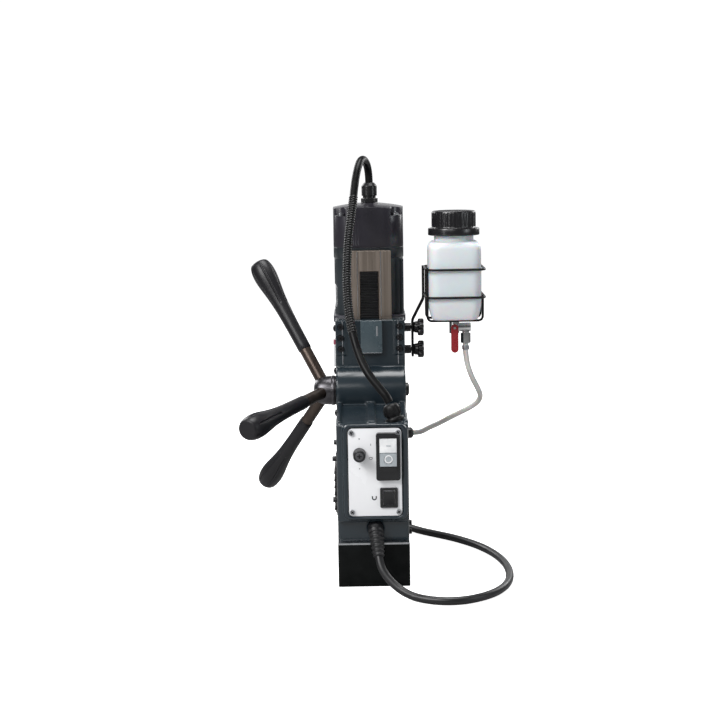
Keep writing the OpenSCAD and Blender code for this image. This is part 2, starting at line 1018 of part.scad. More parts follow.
module ball_bearings() {
    color(steel) {
        translate([0, spindle_y, sleeve_z + 4])
            bearing(spindle_d + 0.06, 47, 14);
        translate([0, spindle_y, housing_z - 8])
            bearing(spindle_d + 0.06, 47, 14);
        translate([0, mid_y, housing_z + 8])
            bearing(7.06, 15, 6.5);
        translate([0, mid_y, flange_z])
            bearing(7.06, 15, 5);
        translate([0, motor_y, flange_z + 0.5])
            bearing(8.06, 22, 7);
        translate([0, motor_y, bearing_z])
            bearing(8.06, 22, 7);
    }
}

module armature() {
    color(copper)
        translate([0, motor_y, 0]) {
            translate([0, 0, 250])
                cylinder(d = 5, h = 25);
            translate([0, 0, 275])
                cylinder(d = 8, h = 127);
            // Motor pinion
            translate([0, 0, 252])
                linear_extrude(20)
                    gear_outline(motor_pinion_teeth, first_module, 0.8);
            translate([0, 0, 290])
                cylinder(d = 60, h = 10);
            translate([0, 0, 304])
                cylinder(d = 45, h = 42);
            translate([0, 0, 362])
                cylinder(d = 28, h = 20);
        }
}

module intermediate_shaft() {
    color(steel)
        translate([0, mid_y, 0]) {
            translate([0, 0, housing_z + 8.5])
                cylinder(d = 7, h = flange_z - housing_z - 4.5);
            translate([0, 0, 253])
                linear_extrude(18)
                    gear_outline(mid_gear_teeth, first_module, 0.8);
            translate([0, 0, 224])
                linear_extrude(24)
                    gear_outline(mid_pinion_teeth, second_module, 0.8);
        }
}

module spindle() {
    color(steel)
        translate([0, spindle_y, 0])
            difference() {
                union() {
                    translate([0, 0, spindle_end_z])
                        cylinder(d = spindle_d, h = 130);
                    translate([0, 0, spindle_end_z])
                        cylinder(d = 34, h = 3.5);
                    translate([0, 0, 226])
                        linear_extrude(20)
                            rotate(-2)
                                gear_outline(spindle_gear_teeth, second_module, 0.8);
                }
                // Tapped holes for the grub screws that hold the cutter
                for (turn = [45, 135])
                    translate([0, 0, grub_z])
                        rotate([0, 0, turn])
                            rod_x(4.1, 20);
                translate([0, 0, spindle_end_z - eps])
                    cylinder(d = shank_d, h = shank_depth);
                // Ejector channel above the shank bore
                translate([0, 0, spindle_end_z])
                    cylinder(d = 8, h = 132);
            }
}

module arbor_screws() {
    color(black)
        for (turn = [0, 90])
            translate([0, spindle_y, grub_z])
                rotate([0, 0, turn + 45])
                    translate([shank_d / 2 + 0.3, 0, 0])
                        rod_x(4, 3.5);
}

// ---- Coolant ----

module coolant_ring() {
    color(black)
        translate([0, spindle_y, ring_z])
            difference() {
                union() {
                    cylinder(d = ring_d, h = ring_h);
                    translate([20, 0, 6])
                        rod_x(11, 22);
                    translate([40, 0, 6])
                        rod_x(14, 6);
                    // Arm that holds the ring on the sleeve
                    translate([-30, -4, 0])
                        cube([10, 8, sleeve_z - ring_z]);
                }
                translate([0, 0, -1])
                    cylinder(d = spindle_d + 2 * ring_gap, h = ring_h + 2);
                translate([14, 0, 6])
                    rod_x(4, 40);
            }
}

module coolant_hose() {
    color([0.67, 0.68, 0.67])
        tube_along(hose_route, hose_d, 10, [0, 1, 0.2]);
}

module valve_body() {
    color(steel) {
        // Elbow from the bottle, body, and outlet spigot with its hose nut
        translate([bottle_x, bottle_y, valve_z])
            rod_x(10.6, 19.6);
        translate([bottle_x, bottle_y, valve_z - 7])
            cylinder(d = 12, h = bottle_z - valve_z + 7);
        translate([bottle_x, bottle_y - 4, valve_z])
            rod_out(2.9, 6.5);
        translate([outlet_x, bottle_y, 263])
            cylinder(d = 8.4, h = 8);
        translate([outlet_x, bottle_y, 252])
            cylinder(d = 12, h = 12, $fn = 6);
    }
}

module valve_lever() {
    color([0.50, 0.05, 0.08])
        translate([bottle_x, bottle_y - 7, valve_z])
            rotate([90, 0, 0])
                linear_extrude(2.5)
                    difference() {
                        union() {
                            circle(d = 9);
                            translate([-4.4, -25.5])
                                square([8.8, 25.5]);
                            translate([0, -25.5])
                                circle(d = 8.8);
                        }
                        circle(d = 3);
                    }
}

module bottle_profile(grow) {
    round_rect(bottle_w + 2 * grow, bottle_w + 2 * grow, 10 + grow);
}

module bottle() {
    color([0.86, 0.87, 0.89])
        translate([bottle_x, bottle_y, bottle_z])
            difference() {
                union() {
                    linear_extrude(3)
                        bottle_profile(-6.5);
                    translate([0, 0, 2])
                        linear_extrude(20, scale = bottle_w / (bottle_w - 7))
                            bottle_profile(-3.5);
                    translate([0, 0, 21.5])
                        linear_extrude(62.5)
                            bottle_profile(0);
                    translate([0, 0, 84])
                        linear_extrude(5)
                            bottle_profile(-2);
                    translate([0, 0, 89])
                        linear_extrude(4)
                            bottle_profile(-6);
                    translate([0, 0, 92])
                        cylinder(d = 47, h = 26);
                }
                translate([0, 0, 3.5])
                    linear_extrude(20)
                        bottle_profile(-6);
                translate([0, 0, 22])
                    linear_extrude(60)
                        bottle_profile(-2);
                translate([0, 0, 80])
                    linear_extrude(10)
                        bottle_profile(-8);
                translate([0, 0, 60])
                    cylinder(d = 42, h = 60);
            }
}

module bottle_cap() {
    color(black)
        translate([bottle_x, bottle_y, bottle_z + 98])
            difference() {
                union() {
                    cylinder(d = 61, h = 10);
                    cylinder(d = 52.6, h = 30);
                }
                translate([0, 0, -1])
                    cylinder(d = 48, h = 26);
            }
}

// A closed ring of wire round the bottle, outside the upright wires
module basket_ring(z) {
    outer = 2 * upright_r + 2.4 * wire_d;
    inner = outer - 2 * wire_d;
    translate([bottle_x, bottle_y, z - wire_d / 2])
        linear_extrude(wire_d)
            difference() {
                round_rect(outer, outer, 12);
                round_rect(inner, inner, 12 - wire_d);
            }
}

// A U of wire that passes under the bottle, drawn in the XZ plane
module basket_upright(y) {
    w = 2 * upright_r + wire_d;
    h = ring_high_z + 2 - basket_floor_z + wire_d / 2;
    translate([bottle_x, y + wire_d / 2, basket_floor_z - wire_d / 2])
        rotate([90, 0, 0])
            linear_extrude(wire_d)
                difference() {
                    translate([0, h])
                        round_rect(w, 2 * h, 9);
                    translate([0, h + wire_d])
                        round_rect(w - 2 * wire_d, 2 * h, 9 - wire_d);
                    translate([-w, h])
                        square([2 * w, 3 * h]);
                }
}

// One bent wire of the hanger: its upper half leans from the star knobs to the bottle
module hanger_wire(y) {
    side = bottle_x - upright_r - 3;
    lean = [side - bracket_x, -16];
    reach = norm(lean);
    w = wire_d / 2;
    k = w * tan(atan2(reach, 28) / 2);
    translate([bracket_x - w, y - w, 230.6])
        cube([wire_d, wire_d, 46]);
    translate([bracket_x, y, 0])
        rotate([90, 0, atan2(lean.y, lean.x)])
            linear_extrude(wire_d - 0.1, center = true)
                polygon([
                    [-w, 275], [-w, 276 + k], [reach - w, 304 + k], [reach - w, ring_high_z + 1],
                    [reach + w, ring_high_z + 1], [reach + w, 304 - k], [w, 276 - k], [w, 275]
                ]);
}

module bottle_basket() {
    color(black) {
        basket_ring(ring_low_z);
        basket_ring(ring_high_z);
        basket_upright(bottle_y - 17);
        basket_upright(bottle_y + 17);
        // Hanger that the two star knobs clamp
        for (turn = [-1, 1])
            hanger_wire(knob_y + 4 * turn);
        translate([bracket_x - wire_d / 2 + 0.1, knob_y - 4, 230.7])
            cube([wire_d - 0.2, 8, wire_d - 0.2]);
    }
}

module bracket_nuts() {
    color(steel)
        for (z = [knob_lower_z, knob_upper_z])
            translate([housing_w / 2, knob_y, z])
                difference() {
                    rotate([0, 90, 0])
                        cylinder(d = 11, h = 8.8 - wire_d / 2 + 1, $fn = 6);
                    translate([-1, 0, 0])
                        rod_x(5.2, 12);
                }
}

module star_knob(z) {
    color(black)
        translate([0, knob_y, z]) {
            translate([housing_w / 2 - 4, 0, 0])
                rod_x(4.8, 18);
            translate([bracket_x + wire_d / 2 + 0.1, 0, 0])
                rod_x(14, 5);
            translate([bracket_x + wire_d / 2 + 5, 0, 0])
                rotate([0, 90, 0])
                    linear_extrude(7.5) {
                        circle(d = 17);
                        for (i = [0:5])
                            rotate(60 * i)
                                translate([8.2, 0])
                                    circle(d = 6.4, $fn = 24);
                    }
        }
}

module star_knob_upper() {
    star_knob(knob_upper_z);
}

module star_knob_lower() {
    star_knob(knob_lower_z);
}

// ---- Leads ----

module lead_gland(x, y, z, thread = 5) {
    color(black)
        translate([x, y, z])
            difference() {
                union() {
                    cylinder(d = 21, h = 5, $fn = 6);
                    translate([0, 0, 5])
                        cylinder(d = 16, h = 3);
                    translate([0, 0, 8])
                        cylinder(d = 19, h = 12);
                    translate([0, 0, 20])
                        cylinder(d1 = 19, d2 = 13, h = 4);
                    translate([0, 0, -thread])
                        cylinder(d = 11.8, h = thread + 1);
                }
                translate([0, 0, -6])
                    cylinder(d = 8, h = 40);
            }
}

module lead_gland_upper() {
    lead_gland(2, motor_y, motor_top_z);
}

module lead_gland_lower() {
    translate(lead_gland_at)
        rotate(lead_gland_turn)
            scale(0.78)
                lead_gland(0, 0, 0, 0);
}

module motor_lead() {
    color([0.10, 0.10, 0.11])
        tube_along(lead_route, lead_d, 12, [1, 0, 0]);
}

module mains_gland() {
    color(black)
        translate([2, foot_rear_y, gland_z]) {
            rod_out(16.8, 4);
            translate([0, 10, 0])
                rod_out(15.6, 11);
            translate([0, -4, 0])
                sphere(d = 16.4, $fn = 32);
        }
}

module mains_boot() {
    start = [2, foot_rear_y - 9, gland_z];
    reach = mains_route[0] - start;
    color(black)
        translate(start)
            rotate([0, acos(reach.z / norm(reach)), atan2(reach.y, reach.x)]) {
                cylinder(d1 = 15.5, d2 = 11, h = norm(reach));
                for (i = [0:4])
                    translate([0, 0, 6 + 5 * i])
                        cylinder(d = 15.6 - 0.8 * i, h = 2.2);
            }
}

module mains_cable() {
    color(black)
        tube_along(mains_route, mains_d, 10, [0, 0, 1]);
}

module cable_hank() {
    color(black)
        translate([0, hank_y, 0])
            round_block(hank_w, hank_l, hank_h, 31);
}

module cable_tie() {
    color([0.15, 0.15, 0.16])
        translate([0, tie_y, 0])
            difference() {
                translate([-hank_w / 2 - 1.5, -5, 0])
                    cube([hank_w + 3, 10, hank_h + 1.5]);
                translate([-hank_w / 2, -6, -1])
                    cube([hank_w, 12, hank_h + 1]);
            }
}

module mains_plug() {
    plug_z = hank_h + plug_d / 2 + 0.05;
    color(black)
        translate([plug_x, plug_y, plug_z]) {
            translate([0, 46, 0])
                rod_out(plug_d, 26);
            translate([0, 64, 0])
                rotate([90, 0, 0])
                    cylinder(d1 = 14, d2 = plug_d, h = 18);
        }
    color(steel)
        for (x = [-9.5, 9.5])
            translate([plug_x + x, plug_y + 21, plug_z])
                rod_out(4.8, 20);
}

magnet_body();
magnet_coil();
magnet_potting();
magnet_top_plate();
frame_casting();
guide_strips();
gib_strip();
gib_screws();
guide_bolts();
stop_block();
vent_cover();
control_panel();
panel_screws();
circuit_board();
fuse_holder();
switch_housing();
rocker_housing();
pinion_bushes();
pinion_end_cap();
mains_gland();
mains_boot();
mains_cable();
cable_hank();
cable_tie();
mains_plug();
lead_gland_lower();
motor_lead();
pinion_shaft();
handle_hub();
handle_rods();
handle_grips();
slide_plate();
rack();
gearbox_housing();
gearbox_cover();
motor_shell();
motor_cap();
cap_screws();
motor_field();
brush_holders();
ball_bearings();
lead_gland_upper();
coolant_ring();
coolant_hose();
valve_body();
bottle();
bottle_basket();
bracket_nuts();
start_button();
stop_button();
magnet_rocker();
fuse_cap();
star_knob_upper();
star_knob_lower();
valve_lever();
bottle_cap();
armature();
intermediate_shaft();
spindle();
arbor_screws();
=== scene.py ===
"""Looks of the magnetic drill press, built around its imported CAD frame. Shapes are in millimetres."""

import math
import random

import bmesh
import bpy
from mathutils import Matrix, Vector
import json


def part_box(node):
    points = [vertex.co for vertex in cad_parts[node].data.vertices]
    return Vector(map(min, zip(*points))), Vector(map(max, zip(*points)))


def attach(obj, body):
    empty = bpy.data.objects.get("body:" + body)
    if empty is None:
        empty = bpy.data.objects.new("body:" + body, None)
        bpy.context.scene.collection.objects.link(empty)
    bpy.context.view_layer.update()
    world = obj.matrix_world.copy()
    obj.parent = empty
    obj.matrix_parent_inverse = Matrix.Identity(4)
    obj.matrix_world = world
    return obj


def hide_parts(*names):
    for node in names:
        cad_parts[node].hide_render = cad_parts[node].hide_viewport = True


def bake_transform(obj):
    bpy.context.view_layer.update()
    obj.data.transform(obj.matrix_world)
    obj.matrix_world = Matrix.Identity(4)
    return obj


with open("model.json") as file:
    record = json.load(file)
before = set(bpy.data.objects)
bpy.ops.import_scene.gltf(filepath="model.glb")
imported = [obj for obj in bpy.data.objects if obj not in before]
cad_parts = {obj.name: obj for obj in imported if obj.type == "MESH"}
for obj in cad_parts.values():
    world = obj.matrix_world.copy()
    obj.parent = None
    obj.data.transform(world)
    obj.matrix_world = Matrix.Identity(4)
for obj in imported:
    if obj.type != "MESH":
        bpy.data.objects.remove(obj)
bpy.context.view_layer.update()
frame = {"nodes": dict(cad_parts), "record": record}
nodes = frame["nodes"]
MM = 0.001

# ---------------------------------------------------------------- camera

CAMERA_AT = (-7.83, -1531.96, 474.56)
CAMERA_AIM = (-7.83, 0.0, 238.77)
CAMERA_LENS = 66.63
CAMERA_ROLL = math.radians(0.9456)


def make_camera():
    cam = bpy.data.objects.new("camera", bpy.data.cameras.new("camera"))
    bpy.context.scene.collection.objects.link(cam)
    at, aim = Vector(CAMERA_AT) * MM, Vector(CAMERA_AIM) * MM
    back = (at - aim).normalized()
    right = Vector((0, 0, 1)).cross(back).normalized()
    up = back.cross(right)
    c, s = math.cos(CAMERA_ROLL), math.sin(CAMERA_ROLL)
    view_right = right * c - up * s
    view_up = right * s + up * c
    turn = Matrix((view_right, view_up, back)).transposed()
    cam.matrix_world = Matrix.Translation(at) @ turn.to_4x4()
    cam.data.lens = CAMERA_LENS
    cam.data.sensor_width = 36.0
    cam.data.clip_start, cam.data.clip_end = 0.05, 50.0
    bpy.context.scene.camera = cam


make_camera()

# ---------------------------------------------------------------- shape helpers


class Geo:
    """Closed shapes as points and faces, in millimetres."""

    def __init__(self, points=(), faces=()):
        self.v = [Vector(p) for p in points]
        self.f = [tuple(f) for f in faces]

    def add(self, other, matrix=None):
        base = len(self.v)
        self.v += [matrix @ p for p in other.v] if matrix else list(other.v)
        self.f += [tuple(i + base for i in f) for f in other.f]
        return self


def shift(x, y, z):
    return Matrix.Translation((x, y, z))


def turn(degrees, axis):
    return Matrix.Rotation(math.radians(degrees), 4, axis)


def from_bm(bm):
    bm.verts.index_update()
    geo = Geo([v.co for v in bm.verts], [[v.index for v in f.verts] for f in bm.faces])
    bm.free()
    return geo


def prism(outline, low, high, edge=0.0, segments=2):
    """An outline in XY, pushed from z low to z high, with its end edges rounded."""
    n = len(outline)
    if edge:
        rings = []
        for k in range(segments + 1):
            a = math.pi / 2 * k / segments
            rings.append((low + edge * (1 - math.sin(a)), edge * (1 - math.cos(a))))
        rings = [(low + edge * (1 - math.cos(math.pi / 2 * k / segments)),
                  edge * (1 - math.sin(math.pi / 2 * k / segments))) for k in range(segments + 1)]
        rings += [(low + high - z, inset) for z, inset in reversed(rings)]
    else:
        rings = [(low, 0.0), (high, 0.0)]
    points, faces = [], []
    for z, inset in rings:
        ring = inset_outline(outline, inset) if inset > 1e-9 else outline
        points += [(x, y, z) for x, y in ring]
    for r in range(len(rings) - 1):
        for i in range(n):
            a, b = r * n + i, r * n + (i + 1) % n
            faces.append((a, b, b + n, a + n))
    faces.append(tuple(reversed(range(n))))
    faces.append(tuple(range((len(rings) - 1) * n, len(rings) * n)))
    return Geo(points, faces)


def inset_outline(outline, amount):
    """The outline moved inwards by an amount, for outlines that run anticlockwise."""
    n, out = len(outline), []
    for i in range(n):
        p, q, r = (Vector(outline[(i + k) % n]) for k in (-1, 0, 1))
        d1, d2 = (q - p).normalized(), (r - q).normalized()
        n1, n2 = Vector((-d1.y, d1.x)), Vector((-d2.y, d2.x))
        m = n1 + n2
        out.append(tuple(q + m * (amount / max(0.3, 1 + n1.dot(n2)))))
    return out


def rounded(w, h, r, steps=6, cx=0.0, cy=0.0):
    """A rounded rectangle, anticlockwise."""
    out = []
    for qx, qy, start in ((1, 1, 0), (-1, 1, 90), (-1, -1, 180), (1, -1, 270)):
        for k in range(steps + 1):
            a = math.radians(start + 90 * k / steps)
            out.append((cx + qx * (w / 2 - r) + r * math.cos(a),
                        cy + qy * (h / 2 - r) + r * math.sin(a)))
    return out


def circle(r, n=48, cx=0.0, cy=0.0):
    return [(cx + r * math.cos(math.tau * k / n), cy + r * math.sin(math.tau * k / n)) for k in range(n)]


def lathe(profile, n=48):
    """A profile of (radius, z) from the axis back to the axis, turned about Z."""
    points, faces, rows = [], [], []
    for r, z in profile:
        if r < 1e-6:
            rows.append([len(points)])
            points.append((0, 0, z))
        else:
            rows.append(list(range(len(points), len(points) + n)))
            points += [(r * math.cos(math.tau * k / n), r * math.sin(math.tau * k / n), z) for k in range(n)]
    for a, b in zip(rows, rows[1:]):
        for k in range(n):
            i, j = k, (k + 1) % n
            if len(a) == 1 and len(b) == 1:
                continue
            if len(a) == 1:
                faces.append((a[0], b[j], b[i]))
            elif len(b) == 1:
                faces.append((a[i], a[j], b[0]))
            else:
                faces.append((a[i], a[j], b[j], b[i]))
    return Geo(points, faces)


def smooth_path(points, step):
    """A smooth line through the points (centripetal form), as points about step apart."""
    pts = [Vector(p) for p in points]
    ext = [pts[0] * 2 - pts[1]] + pts + [pts[-1] * 2 - pts[-2]]
    out = []
    for i in range(1, len(ext) - 2):
        p0, p1, p2, p3 = ext[i - 1:i + 3]
        t = [0.0]
        for a, b in ((p0, p1), (p1, p2), (p2, p3)):
            t.append(t[-1] + max((b - a).length, 1e-6) ** 0.5)
        count = max(2, round((p2 - p1).length / step))
        for k in range(count):
            u = t[1] + (t[2] - t[1]) * k / count
            a1 = p0 * ((t[1] - u) / (t[1] - t[0])) + p1 * ((u - t[0]) / (t[1] - t[0]))
            a2 = p1 * ((t[2] - u) / (t[2] - t[1])) + p2 * ((u - t[1]) / (t[2] - t[1]))
            a3 = p2 * ((t[3] - u) / (t[3] - t[2])) + p3 * ((u - t[2]) / (t[3] - t[2]))
            b1 = a1 * ((t[2] - u) / (t[2] - t[0])) + a2 * ((u - t[0]) / (t[2] - t[0]))
            b2 = a2 * ((t[3] - u) / (t[3] - t[1])) + a3 * ((u - t[1]) / (t[3] - t[1]))
            out.append(b1 * ((t[2] - u) / (t[2] - t[1])) + b2 * ((u - t[1]) / (t[2] - t[1])))
    out.append(pts[-1])
    return out


def path_length(path):
    return sum((b - a).length for a, b in zip(path, path[1:]))


def frames_along(path):
    """For each point of a path its tangent and two square directions that don't twist."""
    out, side = [], None
    for i, p in enumerate(path):
        t = (path[min(i + 1, len(path) - 1)] - path[max(i - 1, 0)]).normalized()
        if side is None:
            side = t.orthogonal().normalized()
        side = (side - t * side.dot(t)).normalized()
        out.append((p, t, side, t.cross(side)))
    return out


def tube(path, radius, n=16):
    """A round tube with closed ends. radius is a number, or one for each point."""
    points, faces = [], []
    for i, (p, t, a, b) in enumerate(frames_along(path)):
        r = radius[i] if hasattr(radius, "__len__") else radius
        for k in range(n):
            w = math.tau * k / n
            points.append(p + a * (r * math.cos(w)) + b * (r * math.sin(w)))
    for i in range(len(path) - 1):
        for k in range(n):
            a, b = i * n + k, i * n + (k + 1) % n
            faces.append((a, b, b + n, a + n))
    faces.append(tuple(reversed(range(n))))
    faces.append(tuple(range((len(path) - 1) * n, len(path) * n)))
    return Geo(points, faces)


def mesh_of(name, geo):
    mesh = bpy.data.meshes.new(name)
    mesh.from_pydata([p * MM for p in geo.v], [], geo.f)
    bm = bmesh.new()
    bm.from_mesh(mesh)
    bmesh.ops.recalc_face_normals(bm, faces=bm.faces)
    bm.to_mesh(mesh)
    bm.free()
    return mesh


def apply_modifiers(obj):
    depsgraph = bpy.context.evaluated_depsgraph_get()
    mesh = bpy.data.meshes.new_from_object(obj.evaluated_get(depsgraph))
    obj.modifiers.clear()
    obj.data = mesh


def raw(name, geo):
    obj = bpy.data.objects.new(name, mesh_of(name, geo))
    bpy.context.scene.collection.objects.link(obj)
    return obj


def cut(obj, cutter_geo, operation="DIFFERENCE"):
    cutter = raw(obj.name + "_cutter", cutter_geo)
    mod = obj.modifiers.new("cut", "BOOLEAN")
    mod.operation, mod.object = operation, cutter
    mod.solver = "MANIFOLD"
    apply_modifiers(obj)
    bpy.data.objects.remove(cutter)


def cast(obj, voxel, rounds):
    """Melts overlapping closed shapes into one body with soft edges, as a casting has."""
    mod = obj.modifiers.new("melt", "REMESH")
    mod.mode, mod.voxel_size = "VOXEL", voxel * MM
    soft = obj.modifiers.new("soft", "SMOOTH")
    soft.factor, soft.iterations = 0.5, rounds
    apply_modifiers(obj)


def shade(obj, degrees=35):
    mesh = obj.data
    mesh.shade_smooth()
    mesh.set_sharp_from_angle(angle=math.radians(degrees))


def finish_piece(obj, material, body, slot, stands_for=(), edge=0.0, segments=2, degrees=35):
    if edge:
        mod = obj.modifiers.new("edges", "BEVEL")
        mod.width, mod.segments = edge * MM, segments
        mod.limit_method, mod.angle_limit = "ANGLE", math.radians(32)
        mod.use_clamp_overlap = True
        apply_modifiers(obj)
    shade(obj, degrees)
    obj.data.materials.clear()
    obj.data.materials.append(material)
    if body:
        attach(obj, body)
    if stands_for:
        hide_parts(*stands_for)
    return obj


def piece(name, geo, material, body, slot, stands_for=(), **looks):
    return finish_piece(raw(name, geo), material, body, slot, stands_for, **looks)


# ---------------------------------------------------------------- materials


class Nodes:
    """A small helper that wires a material's nodes."""

    def __init__(self, name):
        self.mat = bpy.data.materials.new(name)
        self.mat.use_nodes = True
        self.tree = self.mat.node_tree
        self.bsdf = self.tree.nodes["Principled BSDF"]
        self.where = self.node("ShaderNodeTexCoord").outputs["Object"]

    def node(self, kind, **values):
        n = self.tree.nodes.new(kind)
        for k, v in values.items():
            setattr(n, k, v)
        return n

    def link(self, a, b):
        self.tree.links.new(a, b)

    def stretched(self, scale):
        m = self.node("ShaderNodeMapping")
        m.inputs["Scale"].default_value = scale
        self.link(self.where, m.inputs["Vector"])
        return m.outputs["Vector"]

    def noise(self, scale, detail=3.0, rough=0.55, vector=None):
        n = self.node("ShaderNodeTexNoise")
        n.inputs["Scale"].default_value = scale
        n.inputs["Detail"].default_value = detail
        n.inputs["Roughness"].default_value = rough
        self.link(vector or self.where, n.inputs["Vector"])
        return n.outputs["Fac"]

    def ramp(self, value, low, high, out_low=0.0, out_high=1.0):
        m = self.node("ShaderNodeMapRange")
        m.inputs["From Min"].default_value = low
        m.inputs["From Max"].default_value = high
        m.inputs["To Min"].default_value = out_low
        m.inputs["To Max"].default_value = out_high
        self.link(value, m.inputs["Value"])
        return m.outputs["Result"]

    def mix(self, factor, a, b):
        m = self.node("ShaderNodeMix", data_type="RGBA")
        if isinstance(factor, (int, float)):
            m.inputs[0].default_value = factor
        else:
            self.link(factor, m.inputs[0])
        for socket, value in ((m.inputs[6], a), (m.inputs[7], b)):
            if isinstance(value, tuple):
                socket.default_value = (*value, 1.0)
            else:
                self.link(value, socket)
        return m.outputs[2]

    def bump(self, height, strength, distance):
        b = self.node("ShaderNodeBump")
        b.inputs["Strength"].default_value = strength
        b.inputs["Distance"].default_value = distance
        self.link(height, b.inputs["Height"])
        self.link(b.outputs["Normal"], self.bsdf.inputs["Normal"])

    def set(self, **values):
        for name, value in values.items():
            self.bsdf.inputs[name.replace("_", " ")].default_value = value


def surface(name, colour, rough, metallic=0.0, tint=None, patch=60.0, grain=900.0, bump=0.15,
            depth=0.0001, spread=0.08, coat=0.0, coat_rough=0.1, stretch=None, fine=0.35, **extra):
    """A solid finish: patchy colour, uneven roughness and a fine grain."""
    s = Nodes(name)
    tint = tint or tuple(min(1.0, c * 1.35 + 0.004) for c in colour)
    vector = s.stretched(stretch) if stretch else None
    patches = s.noise(patch, 4.0, vector=vector)
    fine_grain = s.noise(grain, 2.0, vector=vector)
    blend = s.ramp(patches, 0.35, 0.7)
    base = s.mix(blend, colour, tint)
    base = s.mix(s.ramp(fine_grain, 0.3, 0.75, 0.0, fine), base, tuple(c * 0.6 for c in colour))
    s.link(base, s.bsdf.inputs["Base Color"])
    s.link(s.ramp(patches, 0.3, 0.75, max(0.02, rough - spread), rough + spread), s.bsdf.inputs["Roughness"])
    s.bsdf.inputs["Metallic"].default_value = metallic
    if coat:
        s.bsdf.inputs["Coat Weight"].default_value = coat
        s.bsdf.inputs["Coat Roughness"].default_value = coat_rough
    for key, value in extra.items():
        s.bsdf.inputs[key.replace("_", " ")].default_value = value
    if bump:
        s.bump(fine_grain, bump, depth)
    return s.mat


